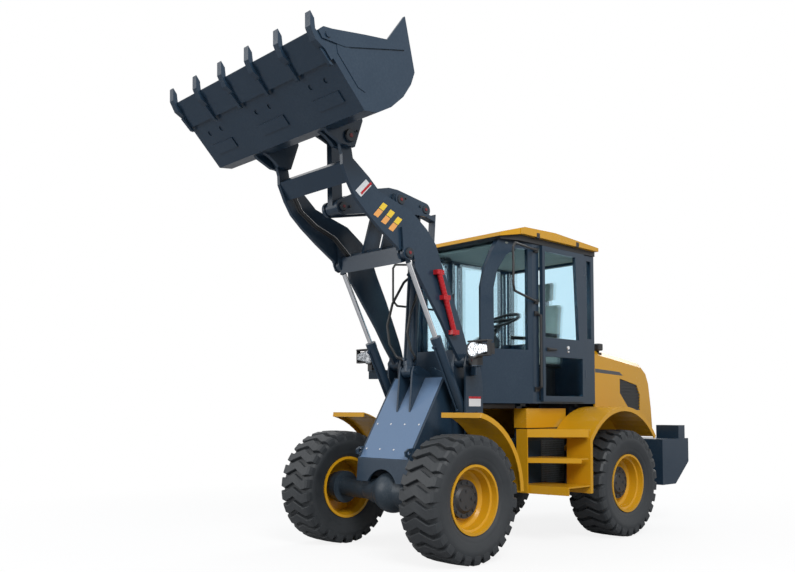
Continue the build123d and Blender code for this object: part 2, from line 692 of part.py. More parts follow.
# ---- rear frame ----
rail_inner = 300
rail_plate = 25
rail_front = 1300
rail_rear = 3234
post_plate = 25
rear_lugs = [(560, 584), (636, 660), (880, 904), (956, 980)]
with BuildPart() as rear_frame:
    rail = [
        (rail_front, 560), (rail_front, 980), (1500, 980), (1700, 860),
        (rail_rear, 860), (rail_rear, hub_z + 112), (1700, hub_z + 112), (1500, 560),
    ]
    pair(rail, rail_inner, rail_inner + rail_plate)
    block((-rail_inner - rail_plate, rail_inner + rail_plate), (rail_front, rail_front + 25), (560, 980))
    # openings where the steering cylinders swing through
    for _, sign in both_sides:
        xs = (130, 350) if sign > 0 else (-350, -130)
        block(xs, (rail_front - 5, 1540), (steer_z - 58, steer_z + 58), Mode.SUBTRACT)
    block((-rail_inner, rail_inner), (2560, 2585), (hub_z + 112, 860))
    block((-rail_inner, rail_inner), (rail_rear - 25, rail_rear), (hub_z + 112, 860))
    for low, high in rear_lugs:
        slab(
            [
                (-150, rail_front), (150, rail_front), (lug_radius, pivot_station),
                (-lug_radius, pivot_station),
            ],
            low, high,
        )
        rod((0, pivot_station, low), (0, pivot_station, high), lug_radius)
    for low, high in [(550, 670), (870, 990)]:
        rod((0, pivot_station, low), (0, pivot_station, high), pin_radius + 4)
    # saddle plates over the rear axle and cab mounts
    pair(
        [
            (rear_axle - 90, hub_z + 112), (rear_axle - 90, hub_z + 130),
            (rear_axle + 90, hub_z + 130), (rear_axle + 90, hub_z + 112),
        ],
        255, 345,
    )
    for station in [1350, 2250]:
        pair(
            [
                (station - 40, 840), (station - 40, cab_floor_z), (station + 40, cab_floor_z),
                (station + 40, 840),
            ],
            rail_inner + rail_plate, rail_inner + rail_plate + post_plate,
        )
        pair(
            [
                (station - 40, cab_floor_z - 25), (station - 40, cab_floor_z),
                (station + 40, cab_floor_z), (station + 40, cab_floor_z - 25),
            ],
            250, 400,
        )
    # feet of the steering cylinders
    for _, sign in both_sides:
        for low, high in steer_lugs:
            xs = (200, 300) if sign > 0 else (-300, -200)
            block(xs, (1530, 1600), (low, high))
        rod((sign * 250, steer_foot_station, 700), (sign * 250, steer_foot_station, 820), 16)
save("rear_frame", rear_frame.part)

with BuildPart() as transmission:
    block((-190, 190), (1960, 2090), (hub_z - 40, 820))
    block((-160, 160), (1500, 1960), (430, 800))
    block((-rail_inner, rail_inner), (1640, 1700), (680, 760))
save("transmission", transmission.part)

with BuildPart() as engine:
    block((-270, 270), (2480, 3180), (860, 1640))
    block((-430, 430), (3230, 3330), (945, 1720))
    block((-270, 270), (3180, 3230), (900, 1500))
save("engine", engine.part)

# ---- counterweight with its lamp boxes ----
counterweight_half = 820
with BuildPart() as counterweight:
    plate(
        [(3234, 938), (3806, 938), (3806, 676), (3511, 442), (3234, 442)], -counterweight_half,
        counterweight_half,
    )
    # brackets and pins of the hood's hinge
    for _, sign in both_sides:
        for near, far in [(300, 314), (354, 368)]:
            xs = (near, far) if sign > 0 else (-far, -near)
            plate([(3450, 938), (3455, 1012), (3505, 1012), (3510, 938)], xs[0], xs[1])
        pin = (300, 368) if sign > 0 else (-368, -300)
        cross_pin((3480, 1000), pin[0], pin[1], 14)
save("counterweight", counterweight.part)
with BuildPart() as tail_boxes:
    for _, sign in both_sides:
        xs = (540, counterweight_half - 6) if sign > 0 else (6 - counterweight_half, -540)
        block(xs, (3600, 3740), (938, 1085))
save("tail_boxes", tail_boxes.part)

# ---- rear fenders ----
rear_arch = (2240, 550)
rear_arch_radius = 740
fender_inner = 530
apron_inner = 700
step_outer = 970
with BuildPart() as rear_fenders:
    outer_arc = arch_points(rear_arch, rear_arch_radius, 36, 144, 18)
    skin_arc = arch_points(rear_arch, rear_arch_radius - sheet, 36, 144, 18)
    lip_arc = arch_points(rear_arch, rear_arch_radius - 44, 36, 144, 18)
    pair(outer_arc + skin_arc[::-1], fender_inner, apron_inner)
    pair(outer_arc + [(1632, 472), (1640, 472)] + skin_arc[::-1], apron_inner, step_outer - sheet)
    pair(outer_arc + [(1632, 472), (1676, 472)] + lip_arc[::-1], step_outer - sheet, step_outer)
    wall = arch_points(
        rear_arch, rear_arch_radius - sheet / 2, 40, 120, 12,
    ) + arch_points(rear_arch, 440, 120, 40, 12)
    pair(wall, fender_inner, fender_inner + sheet)
    # tubes that hold the fenders on the rails
    for station in [2060, 2440]:
        for _, sign in both_sides:
            rod(
                (sign * (rail_inner + rail_plate + 14), station, 830),
                (sign * (fender_inner + sheet), station, 1010), 20,
            )
save("rear_fenders", rear_fenders.part)

# ---- side boxes, steps ----
box_face = 450
box_inner = rail_inner + rail_plate + post_plate
with BuildPart() as side_boxes:
    pair([(1324, 490), (1324, 1085), (1950, 1085), (1950, 490)], box_inner, box_face)
save("side_boxes", side_boxes.part)
treads = [
    (472, 550, [(box_face, 1190), (970, 1280), (970, 1626), (box_face, 1626)]),
    (760, 805, [(box_face, 1190), (560, 1190), (970, 1480), (970, 1600), (box_face, 1600)]),
    (1000, 1075, [(box_face, 1190), (580, 1190), (970, 1600), (970, 1640), (box_face, 1640)]),
]
with BuildPart() as steps:
    for low, high, outline in treads:
        for _, sign in both_sides:
            slab([(sign * x, s) for x, s in outline], high - 12, high)
            front = outline[:-2]
            rim_line = front + [(x, s + 12) for x, s in reversed(front)]
            slab([(sign * x, s) for x, s in rim_line], low, high)
    pair([(1180, 480), (1180, 1075), (1190, 1075), (1190, 480)], box_face, 580)
    pair([(1272, 1085), (1272, 1272), (1908, 1272), (1908, 1085)], box_inner, 500)
save("steps", steps.part)

# ---- cab shell ----
flare = cab_half - cab_front_half
corner_run = cab_corner - cab_front
front_wall = Plane(
    origin=(cab_front_half, at_station(cab_front), 0), x_dir=(flare, corner_run, 0),
    z_dir=(corner_run, -flare, 0)
)
wall_length = math.dist((cab_front_half, cab_front), (cab_half, cab_corner))
quarter = [
    (0, cab_floor_z), (wall_length, cab_floor_z), (wall_length, cab_top_z), (215, cab_top_z),
    (130, 2745), (50, 2575), (0, 2400),
]
quarter_window = [
    (150, belt_z + 30), (560, belt_z + 30), (560, 2800), (420, 2795), (300, 2720), (190, 2560),
    (150, 2400),
]
door_low = 1338
door_high = 2850
door_front = 1412
door_rear = 2112
door_hinge = (cab_half + 22, door_rear + 20)
hinge_heights = [1622, 2685]
opening = [(1400, door_low + 12), (1400, door_high - 12), (2124, door_high - 12), (2124, door_low + 12)]
rear_quarter = [(2215, 1990), (2215, 2800), (2290, 2800), (2290, 1990)]
right_windows = [
    [(1370, belt_z + 30), (1370, 2800), (1450, 2800), (1450, belt_z + 30)],
    [(1490, belt_z + 30), (1490, 2800), (2120, 2800), (2120, belt_z + 30)],
]


def wall_cut(outline, plane, depth, mode):
    """Outline on a wall's own plane, extruded inwards."""
    with BuildSketch(plane) as face:
        with BuildLine():
            Polyline(*outline, close=True)
        make_face()
    extrude(face.sketch, amount=-depth, mode=mode)


screen_half = cab_front_half - 12
rear_window_half = cab_half - 60
rear_window_heights = (1990, 2800)
screen = [
    (700, 1826), (700, 2400), (750, 2575), (830, 2745), (905, 2860),
    (913, 2860), (838, 2742), (757, 2572), (707, 2398), (707, 1826),
]
mirror_wall = Plane(
    origin=(-cab_front_half, at_station(cab_front), 0), x_dir=(-flare, corner_run, 0),
    z_dir=(corner_run, flare, 0)
)
with BuildPart() as cab:
    # floor pan
    plan = [
        (cab_front_half, cab_front), (cab_half, cab_corner), (cab_half, cab_rear),
        (-cab_half, cab_rear), (-cab_half, cab_corner), (-cab_front_half, cab_front),
    ]
    slab(plan, cab_floor_z, cab_floor_z + 30)
    # full walls, hollowed, then the windows and the doorway cut
    slab(plan, cab_floor_z, cab_top_z)
    inner = [
        (cab_front_half - cab_wall, cab_front + cab_wall), (cab_half - cab_wall, cab_corner + 5),
        (cab_half - cab_wall, cab_rear - cab_wall), (cab_wall - cab_half, cab_rear - cab_wall),
        (cab_wall - cab_half, cab_corner + 5), (cab_wall - cab_front_half, cab_front + cab_wall),
    ]
    slab(inner, cab_floor_z + 30, cab_top_z + 10, Mode.SUBTRACT)
    # front top corner leans back with the windscreen
    lean = [
        (600, 2400), (700, 2400), (750, 2575), (830, 2745), (905, cab_top_z),
        (905, cab_top_z + 50), (600, cab_top_z + 50),
    ]
    plate(lean, -cab_half - 10, cab_half + 10, Mode.SUBTRACT)
    wall_cut(quarter_window, front_wall, 60, Mode.SUBTRACT)
    wall_cut([(x, z) for x, z in quarter_window], mirror_wall.offset(60), 60, Mode.SUBTRACT)
    plate(opening, cab_half - 60, cab_half + 10, Mode.SUBTRACT)
    pair(rear_quarter, cab_half - 60, cab_half + 10, Mode.SUBTRACT)
    for window in right_windows:
        plate(window, -cab_half - 10, 60 - cab_half, Mode.SUBTRACT)
    block(
        (-rear_window_half, rear_window_half), (cab_rear - 60, cab_rear + 10), rear_window_heights,
        Mode.SUBTRACT,
    )
    # windscreen opening
    block(
        (-cab_front_half + 30, cab_front_half - 30), (cab_front - 10, cab_front + 60),
        (belt_z + 30, 2640), Mode.SUBTRACT,
    )
    plate(screen, -screen_half - 1, screen_half + 1, Mode.SUBTRACT)
    # door hinges: a leaf and two knuckles on the rear post
    for height in hinge_heights:
        block((cab_half, cab_half + 8), (door_hinge[1], door_hinge[1] + 50), (height - 44, height + 44))
        for low, high in [(-44, -15), (15, 44)]:
            rod(
                (door_hinge[0], door_hinge[1], height + low),
                (door_hinge[0], door_hinge[1], height + high), 14,
            )
            block(
                (cab_half, cab_half + 20), (door_hinge[1], door_hinge[1] + 14),
                (height + low, height + high),
            )
        rod((door_hinge[0], door_hinge[1], height - 44), (door_hinge[0], door_hinge[1], height + 44), 6)
save("cab", cab.part)

# ---- windscreen and the fixed panes, seated in their openings ----
pane = (18, 18 + glass_thick)
with BuildPart() as cab_glass:
    plate(screen, -screen_half, screen_half)
    wall_cut(quarter_window, front_wall.offset(-pane[0]), glass_thick, Mode.ADD)
    wall_cut(quarter_window, mirror_wall.offset(pane[1]), glass_thick, Mode.ADD)
    pair(rear_quarter, cab_half - pane[1], cab_half - pane[0])
    for window in right_windows:
        plate(window, pane[0] - cab_half, pane[1] - cab_half)
    block(
        (-rear_window_half, rear_window_half), (cab_rear - pane[1], cab_rear - pane[0]),
        rear_window_heights,
    )
save("cab_glass", cab_glass.part)

# ---- roof ----
with BuildPart() as roof:
    plate(
        [(855, 2880), (1100, 2917), (2350, 2907), (2350, 2945), (1600, 2995), (1120, 2985), (880, 2922)],
        -620, 620,
    )
    for _, sign in both_sides:
        slab(
            [(sign * 500, 800), (sign * 700, 800), (sign * 700, 1060), (sign * 612, 1060)], 2800,
            3050, Mode.SUBTRACT,
        )
save("roof", roof.part)
with BuildPart() as roof_liner:
    plate([(905, cab_top_z), (2345, cab_top_z), (2345, 2907), (1100, 2917), (875, 2882)], -575, 575)
    for _, sign in both_sides:
        slab(
            [(sign * 470, 800), (sign * 700, 800), (sign * 700, 1100), (sign * 580, 1100)], 2800,
            3050, Mode.SUBTRACT,
        )
save("roof_liner", roof_liner.part)

# ---- door ----
with BuildPart() as door:
    frame = [(door_front, door_low), (door_front, door_high), (door_rear, door_high), (door_rear, door_low)]
    plate(frame, cab_half + 4, cab_half + 40)
    plate([(1452, 1960), (1452, 2800), (1960, 2800), (2010, 1960)], cab_half, cab_half + 50, Mode.SUBTRACT)
    plate([(1452, 1392), (1452, 1775), (2070, 1775), (2070, 1392)], cab_half, cab_half + 50, Mode.SUBTRACT)
    for height in hinge_heights:
        rod((door_hinge[0], door_hinge[1], height - 14.5), (door_hinge[0], door_hinge[1], height + 14.5), 14)
        block((cab_half + 10, cab_half + 30), (door_rear - 4, door_hinge[1]), (height - 14.5, height + 14.5))
        rod(
            (door_hinge[0], door_hinge[1], height - 20),
            (door_hinge[0], door_hinge[1], height + 20), 6 + pin_play, Mode.SUBTRACT,
        )
save("door_left", door.part)
with BuildPart() as door_glass:
    plate([(1452, 1960), (1452, 2800), (1960, 2800), (2010, 1960)], cab_half + 18, cab_half + 24)
    plate([(1452, 1392), (1452, 1775), (2070, 1775), (2070, 1392)], cab_half + 18, cab_half + 24)
save("door_glass", door_glass.part)

# ---- seat and steering column ----
with BuildPart() as seat:
    block((-170, 170), (1960, 2200), (cab_floor_z + 30, 1720))
    block((-240, 240), (1850, 2250), (1720, 1860))
    plate([(2140, 1860), (2190, 2400), (2270, 2400), (2250, 1860)], -230, 230)
    plate([(2190, 2440), (2205, 2640), (2270, 2640), (2265, 2400), (2200, 2400)], -130, 130)
save("seat", seat.part)
with BuildPart() as column:
    plate(
        [
            (1060, cab_floor_z + 30), (1080, 1900), (1300, 2000), (1340, 1940), (1260, 1500),
            (1280, cab_floor_z + 30),
        ],
        -110, 110,
    )
    rod((0, 1320, 1960), (0, 1515, 2170), 28)
    wheel_plane = Plane(Location((0, at_station(1515), 2170), (25, 0, 0)))
    with BuildSketch(wheel_plane.offset(-12)) as grip:
        RegularPolygon(200, 16)
        RegularPolygon(172, 16, mode=Mode.SUBTRACT)
        Rectangle(380, 34)
        Circle(45)
    extrude(grip.sketch, amount=24)
save("steering_column", column.part)

# ---- hood: bands that fall away from a flat crown to a rounded edge, hollowed and open below ----
hood_half = 530
hood_wall = 20
hood_hinge = (3480, 1000)
hood_front = 2390
hood_floor = 1021
hood_side = [
    (2190, 1865), (3306, 1724), (3397, 1659), (3453, 1550), (3504, 1280), (3532, 1021),
    (3540, 821), (2190, 821),
]
hood_bands = [
    (0, hood_half - 230, 3),
    (hood_half - 230, hood_half - 60, 11),
    (hood_half - 60, hood_half, 44),
]  # (from x, to x, lean in degrees)
edge_round = 3
grille_recess = 12
grille_pitch = 34


def hood_bands_solid(inset, mode):
    """Left half of the hood's form, or its hollow when inset."""
    rise = edge_round - inset
    for low, high, lean in hood_bands:
        rise += (high - low) * math.tan(math.radians(lean))
    for low, high, lean in hood_bands:
        reach = min(high, hood_half - inset) - low
        with BuildSketch(side.offset(low)) as face:
            with BuildLine():
                Polyline(*hood_side, close=True)
            make_face()
            offset(amount=rise, mode=Mode.REPLACE)
        extrude(face.sketch, amount=reach, taper=lean, mode=mode)
        rise -= reach * math.tan(math.radians(lean))


with BuildPart() as hood:
    hood_bands_solid(0, Mode.ADD)
    hood_bands_solid(hood_wall, Mode.SUBTRACT)
    mirror(about=Plane.YZ)
    beyond = hood_half + 60
    block((-beyond, beyond), (1800, hood_front), (500, 2400), Mode.SUBTRACT)
    block((-beyond, beyond), (1800, 4000), (500, hood_floor), Mode.SUBTRACT)
    plate([(3532, 900), (3537, 1060), (3660, 1210), (3760, 900)], -beyond, beyond, Mode.SUBTRACT)
    cross_pin(rear_arch, -beyond, beyond, rear_arch_radius + running_gap, Mode.SUBTRACT)
    window = [(2868, 1597), (3210, 1533), (3275, 1425), (3271, 1255), (3060, 1255), (2868, 1440)]
    pair(window, hood_half - hood_wall - 10, hood_half + 5, Mode.SUBTRACT)
    for _, sign in both_sides:
        xs = (322, 346) if sign > 0 else (-346, -322)
        knuckle = [
            (3440, 1060), (3445, 1021), (3465, 975), (3505, 985), (3530, 1040), (3612, 1165), (3606, 1240),
            (3590, 1240), (3480, 1110),
        ]
        plate(knuckle, xs[0], xs[1])
        cross_pin(hood_hinge, xs[0] - 5, xs[1] + 5, 14 + pin_play, Mode.SUBTRACT)
save("hood", hood.part)
with BuildPart() as hood_grilles:
    pair(window, hood_half - grille_recess - 6, hood_half - grille_recess)
    # slats that follow the window, left standing between cut grooves
    pair(window, hood_half - grille_recess, hood_half - 2)
    low, high = min(z for _, z in window), max(z for _, z in window)
    for i in range(int((high - low) / grille_pitch)):
        foot = low + 12 + grille_pitch * i
        for _, sign in both_sides:
            xs = sorted([sign * (hood_half - grille_recess), sign * (hood_half + 5)])
            block(xs, (2800, 3300), (foot, foot + grille_pitch - 12), Mode.SUBTRACT)
save("hood_grilles", hood_grilles.part)

# ---- mirrors, rail and lamps on the cab ----
with BuildPart() as cab_fittings:
    for _, sign in both_sides:
        feet = (cab_half, cab_half + 14) if sign > 0 else (-cab_half - 14, -cab_half)
        for height in [2800, 2300, 2185, 1455]:
            block(feet, (1325, 1385), (height - 22, height + 22))
        loop = [
            (572, 1350, 2800), (790, 760, 2760), (790, 730, 2720), (790, 730, 2380),
            (770, 770, 2330), (572, 1350, 2300),
        ]
        for start, end in zip(loop, loop[1:]):
            rod((sign * start[0], start[1], start[2]), (sign * end[0], end[1], end[2]), 11)
        for point in loop[1:-1]:
            with Locations((sign * point[0], at_station(point[1]), point[2])):
                Sphere(11)
        rail = [(568, 1360, 2185), (615, 1360, 2160), (615, 1360, 1480), (568, 1360, 1455)]
        for start, end in zip(rail, rail[1:]):
            rod((sign * start[0], start[1], start[2]), (sign * end[0], end[1], end[2]), 13)
        for point in rail[1:-1]:
            with Locations((sign * point[0], at_station(point[1]), point[2])):
                Sphere(13)
save("cab_fittings", cab_fittings.part)
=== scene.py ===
import bpy
import bmesh
import json
import math
from mathutils import Matrix, Vector

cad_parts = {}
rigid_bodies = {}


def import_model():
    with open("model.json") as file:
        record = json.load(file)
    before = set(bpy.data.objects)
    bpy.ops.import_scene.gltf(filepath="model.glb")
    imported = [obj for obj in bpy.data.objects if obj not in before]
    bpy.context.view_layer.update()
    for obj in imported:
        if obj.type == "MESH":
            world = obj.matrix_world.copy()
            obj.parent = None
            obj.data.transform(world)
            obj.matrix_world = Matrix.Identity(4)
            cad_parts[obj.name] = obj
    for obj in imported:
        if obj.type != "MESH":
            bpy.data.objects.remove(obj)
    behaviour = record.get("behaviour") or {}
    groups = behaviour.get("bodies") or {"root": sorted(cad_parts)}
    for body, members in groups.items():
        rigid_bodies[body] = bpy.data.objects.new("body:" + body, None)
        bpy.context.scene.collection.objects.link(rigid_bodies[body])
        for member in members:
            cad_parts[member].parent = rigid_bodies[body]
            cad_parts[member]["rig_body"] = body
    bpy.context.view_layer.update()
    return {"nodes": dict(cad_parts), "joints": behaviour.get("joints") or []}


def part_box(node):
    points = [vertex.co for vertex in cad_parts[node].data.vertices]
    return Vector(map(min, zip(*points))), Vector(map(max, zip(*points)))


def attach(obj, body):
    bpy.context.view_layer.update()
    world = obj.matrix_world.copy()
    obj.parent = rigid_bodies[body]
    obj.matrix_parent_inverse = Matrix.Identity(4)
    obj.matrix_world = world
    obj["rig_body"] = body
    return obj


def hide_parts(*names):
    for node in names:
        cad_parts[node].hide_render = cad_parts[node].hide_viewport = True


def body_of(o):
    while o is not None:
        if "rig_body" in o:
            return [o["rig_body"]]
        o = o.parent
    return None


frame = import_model()

# Painted steel. The frames, arms and bucket are sprayed dark slate, the sheet metal and
# wheel rims ochre, over plate that shows a little orange peel, dust and dulled patches.


def paint_finish(name, base, dusty, dull, dust):
    """Sprayed paint with orange peel, dulled and dusty in patches."""
    material = bpy.data.materials.new(name)
    material.use_nodes = True
    nodes, links = material.node_tree.nodes, material.node_tree.links
    shader = nodes["Principled BSDF"]
    place = nodes.new("ShaderNodeTexCoord")
    cloud = nodes.new("ShaderNodeTexNoise")
    cloud.inputs["Scale"].default_value = 2.3
    cloud.inputs["Detail"].default_value = 6.0
    grit = nodes.new("ShaderNodeTexNoise")
    grit.inputs["Scale"].default_value = 60.0
    grit.inputs["Detail"].default_value = 4.0
    peel = nodes.new("ShaderNodeTexNoise")
    peel.inputs["Scale"].default_value = 420.0
    for texture in (cloud, grit, peel):
        links.new(place.outputs["Object"], texture.inputs["Vector"])
    patch = nodes.new("ShaderNodeMath")
    patch.operation = "MULTIPLY"
    links.new(cloud.outputs["Fac"], patch.inputs[0])
    links.new(grit.outputs["Fac"], patch.inputs[1])
    amount = nodes.new("ShaderNodeMapRange")
    amount.inputs["From Min"].default_value = 0.2
    amount.inputs["From Max"].default_value = 0.42
    amount.inputs["To Max"].default_value = dust
    links.new(patch.outputs[0], amount.inputs["Value"])
    colour = nodes.new("ShaderNodeMix")
    colour.data_type = "RGBA"
    colour.inputs["A"].default_value = (*base, 1)
    colour.inputs["B"].default_value = (*dusty, 1)
    links.new(amount.outputs["Result"], colour.inputs["Factor"])
    links.new(colour.outputs["Result"], shader.inputs["Base Color"])
    gloss = nodes.new("ShaderNodeMapRange")
    gloss.inputs["To Min"].default_value = dull - 0.08
    gloss.inputs["To Max"].default_value = dull + 0.14
    links.new(patch.outputs[0], gloss.inputs["Value"])
    links.new(gloss.outputs["Result"], shader.inputs["Roughness"])
    bump = nodes.new("ShaderNodeBump")
    bump.inputs["Strength"].default_value = 0.06
    bump.inputs["Distance"].default_value = 0.001
    links.new(peel.outputs["Fac"], bump.inputs["Height"])
    links.new(bump.outputs["Normal"], shader.inputs["Normal"])
    shader.inputs["Specular IOR Level"].default_value = 0.28
    shader.inputs["Coat Weight"].default_value = 0.10
    shader.inputs["Coat Roughness"].default_value = 0.12
    return material


def dress(finish, *names):
    """Gives a finish to nodes of the frame."""
    for name in names:
        node = frame["nodes"][name]
        node.data.materials.clear()
        node.data.materials.append(finish)


slate_tone = (0.014, 0.031, 0.054)
slate = paint_finish("slate_paint", slate_tone, (0.055, 0.080, 0.108), 0.34, 0.18)
pale_slate = paint_finish("slate_casting", (0.020, 0.032, 0.045), (0.08, 0.09, 0.10), 0.46, 0.30)
ochre = paint_finish("ochre_paint", (0.585, 0.290, 0.008), (0.50, 0.33, 0.09), 0.27, 0.12)
red = paint_finish("red_paint", (0.42, 0.012, 0.018), (0.30, 0.06, 0.05), 0.30, 0.15)
dress(
    slate, "front_frame", "boom", "bucket", "bucket_teeth", "rocker", "link", "cab", "door_left",
    "counterweight",
)
dress(slate, "rear_frame", "lamp_brackets", "tail_boxes")
dress(pale_slate, "front_axle", "rear_axle")
dress(ochre, "hood", "roof", "front_fenders", "rear_fenders", "steps")
dress(red, "lift_lock")

# Hydraulic cylinders. Barrels carry the frame's slate paint. The rods are ground,
# hard-chromed steel, and what is welded to them (eye, level bar) is painted as the frame.


def metal_finish(name, base, rough, metallic=1.0):
    """Smooth metal or glassy plastic with a slightly uneven gloss."""
    material = bpy.data.materials.new(name)
    material.use_nodes = True
    nodes, links = material.node_tree.nodes, material.node_tree.links
    shader = nodes["Principled BSDF"]
    shader.inputs["Metallic"].default_value = metallic
    place = nodes.new("ShaderNodeTexCoord")
    grain = nodes.new("ShaderNodeTexNoise")
    grain.inputs["Scale"].default_value = 35.0
    grain.inputs["Detail"].default_value = 5.0
    links.new(place.outputs["Object"], grain.inputs["Vector"])
    tone = nodes.new("ShaderNodeMix")
    tone.data_type = "RGBA"
    tone.inputs["A"].default_value = (*base, 1)
    tone.inputs["B"].default_value = (*[c * 0.72 for c in base], 1)
    links.new(grain.outputs["Fac"], tone.inputs["Factor"])
    links.new(tone.outputs["Result"], shader.inputs["Base Color"])
    gloss = nodes.new("ShaderNodeMapRange")
    gloss.inputs["To Min"].default_value = rough * 0.6
    gloss.inputs["To Max"].default_value = rough * 1.4
    links.new(grain.outputs["Fac"], gloss.inputs["Value"])
    links.new(gloss.outputs["Result"], shader.inputs["Roughness"])
    return material


hard_chrome, chrome_gloss = (0.78, 0.79, 0.81), 0.10
chrome = metal_finish("rod_chrome", hard_chrome, chrome_gloss)
rams = ["lift_left", "lift_right", "tilt", "steer_left", "steer_right"]
bare_radius = 0.042  # what lies further from the rod's line than this is painted
dress(slate, *[f"{ram}_barrel" for ram in rams])
for ram in rams:
    rod = frame["nodes"][f"{ram}_rod"]
    slide_joint = [joint for joint in frame["joints"] if joint["name"] == f"{ram}_slide"][0]
    travel = Vector(slide_joint["axis"]).normalized()
    reaches = [vert.co.dot(travel) for vert in rod.data.vertices]
    foot_joint = [joint for joint in frame["joints"] if joint["name"] == f"{ram}_foot"][0]
    line_point = Vector(foot_joint["pos_m"])
    eye_length = 0.16 if ram == "tilt" else 0.13
    painted_end = max(reaches) - eye_length - line_point.dot(travel)
    rod_steel = metal_finish(f"{ram}_rod_steel", hard_chrome, chrome_gloss)
    steel_nodes, steel_links = rod_steel.node_tree.nodes, rod_steel.node_tree.links
    steel_shader = steel_nodes["Principled BSDF"]
    from_foot = steel_nodes.new("ShaderNodeVectorMath")
    from_foot.operation = "SUBTRACT"
    from_foot.inputs[1].default_value = line_point
    steel_place = steel_nodes.new("ShaderNodeTexCoord")
    steel_links.new(steel_place.outputs["Object"], from_foot.inputs[0])
    along_rod = steel_nodes.new("ShaderNodeVectorMath")
    along_rod.operation = "DOT_PRODUCT"
    along_rod.inputs[1].default_value = travel
    steel_links.new(from_foot.outputs[0], along_rod.inputs[0])
    beside_rod = steel_nodes.new("ShaderNodeVectorMath")
    beside_rod.operation = "CROSS_PRODUCT"
    beside_rod.inputs[1].default_value = travel
    steel_links.new(from_foot.outputs[0], beside_rod.inputs[0])
    off_line = steel_nodes.new("ShaderNodeVectorMath")
    off_line.operation = "LENGTH"
    steel_links.new(beside_rod.outputs[0], off_line.inputs[0])
    past_end = steel_nodes.new("ShaderNodeMath")
    past_end.operation = "GREATER_THAN"
    past_end.inputs[1].default_value = painted_end
    steel_links.new(along_rod.outputs["Value"], past_end.inputs[0])
    off_rod = steel_nodes.new("ShaderNodeMath")
    off_rod.operation = "GREATER_THAN"
    off_rod.inputs[1].default_value = bare_radius
    steel_links.new(off_line.outputs["Value"], off_rod.inputs[0])
    painted = steel_nodes.new("ShaderNodeMath")
    painted.operation = "MAXIMUM"
    steel_links.new(past_end.outputs[0], painted.inputs[0])
    steel_links.new(off_rod.outputs[0], painted.inputs[1])
    for socket, value in (("Metallic", 0.0), ("Roughness", 0.4), ("Base Color", (*slate_tone, 1))):
        cover_up = steel_nodes.new("ShaderNodeMix")
        cover_up.data_type = "RGBA" if socket == "Base Color" else "FLOAT"
        steel_links.new(painted.outputs[0], cover_up.inputs["Factor"])
        bare = steel_shader.inputs[socket]
        ends = [s for s in cover_up.inputs if s.enabled and s.name in ("A", "B")]
        if bare.is_linked:
            steel_links.new(bare.links[0].from_socket, ends[0])
        else:
            ends[0].default_value = bare.default_value
        ends[1].default_value = value
        result = [s for s in cover_up.outputs if s.enabled][0]
        steel_links.new(result, bare)
    dress(rod_steel, f"{ram}_rod")

# Wheels. Tyres are black rubber with dust in the tread, each a carcass spun round its
# axle with chevron lugs moulded on. Rims are pressed steel in ochre, hubs black castings.


def matt_finish(name, base, worn, rough, scale, depth):
    """Rubber, moulded plastic, castings, film or cloth: a skin of bumps and worn patches."""
    material = bpy.data.materials.new(name)
    material.use_nodes = True
    nodes, links = material.node_tree.nodes, material.node_tree.links
    shader = nodes["Principled BSDF"]
    place = nodes.new("ShaderNodeTexCoord")
    patch = nodes.new("ShaderNodeTexNoise")
    patch.inputs["Scale"].default_value = 7.0
    patch.inputs["Detail"].default_value = 8.0
    skin = nodes.new("ShaderNodeTexNoise")
    skin.inputs["Scale"].default_value = scale
    skin.inputs["Detail"].default_value = 6.0
    for texture in (patch, skin):
        links.new(place.outputs["Object"], texture.inputs["Vector"])
    tone = nodes.new("ShaderNodeMix")
    tone.data_type = "RGBA"
    tone.inputs["A"].default_value = (*base, 1)
    tone.inputs["B"].default_value = (*worn, 1)
    links.new(patch.outputs["Fac"], tone.inputs["Factor"])
    links.new(tone.outputs["Result"], shader.inputs["Base Color"])
    gloss = nodes.new("ShaderNodeMapRange")
    gloss.inputs["To Min"].default_value = rough - 0.08
    gloss.inputs["To Max"].default_value = rough + 0.12
    links.new(patch.outputs["Fac"], gloss.inputs["Value"])
    links.new(gloss.outputs["Result"], shader.inputs["Roughness"])
    bump = nodes.new("ShaderNodeBump")
    bump.inputs["Strength"].default_value = 0.35
    bump.inputs["Distance"].default_value = depth
    links.new(skin.outputs["Fac"], bump.inputs["Height"])
    links.new(bump.outputs["Normal"], shader.inputs["Normal"])
    return material


rubber = matt_finish("tyre_rubber", (0.011, 0.014, 0.017), (0.030, 0.034, 0.038), 0.58, 160.0, 0.0012)
black_casting = matt_finish(
    "black_casting", (0.012, 0.012, 0.013), (0.035, 0.035, 0.036), 0.48, 220.0, 0.0008,
)
black_plastic = matt_finish(
    "black_plastic", (0.011, 0.011, 0.012), (0.024, 0.024, 0.025), 0.52, 500.0, 0.0004,
)

tyre_profile = [  # (across, radius) from bead to bead
    (-0.161, 0.2755), (-0.164, 0.292), (-0.178, 0.306), (-0.188, 0.330), (-0.1915, 0.352),
    (-0.1945, 0.356),
    (-0.1955, 0.400), (-0.1975, 0.404), (-0.1975, 0.436), (-0.192, 0.462), (-0.180, 0.482),
    (-0.150, 0.495), (-0.07, 0.499),
]
lug_rows = [  # (across, radius at the top, across and radius at the foot)
    (0.0, 0.5297, 0.0, 0.492), (0.062, 0.5293, 0.062, 0.492), (0.125, 0.5275, 0.125, 0.488),
    (0.172, 0.5245, 0.166, 0.478), (0.191, 0.510, 0.180, 0.468), (0.1965, 0.482, 0.184, 0.452),
    (0.1965, 0.448, 0.188, 0.436),
]
lugs_per_tyre = 26
lug_half = 0.041
tread_radius = 0.53


def lug_shift(across):
    """The lug's middle line runs forwards at the middle of the tread and back at its quarters."""
    if abs(across) > 0.125:
        return -0.018 + 0.018 * (abs(across) - 0.125) / 0.072
    return 0.040 - 0.058 * abs(across) / 0.125


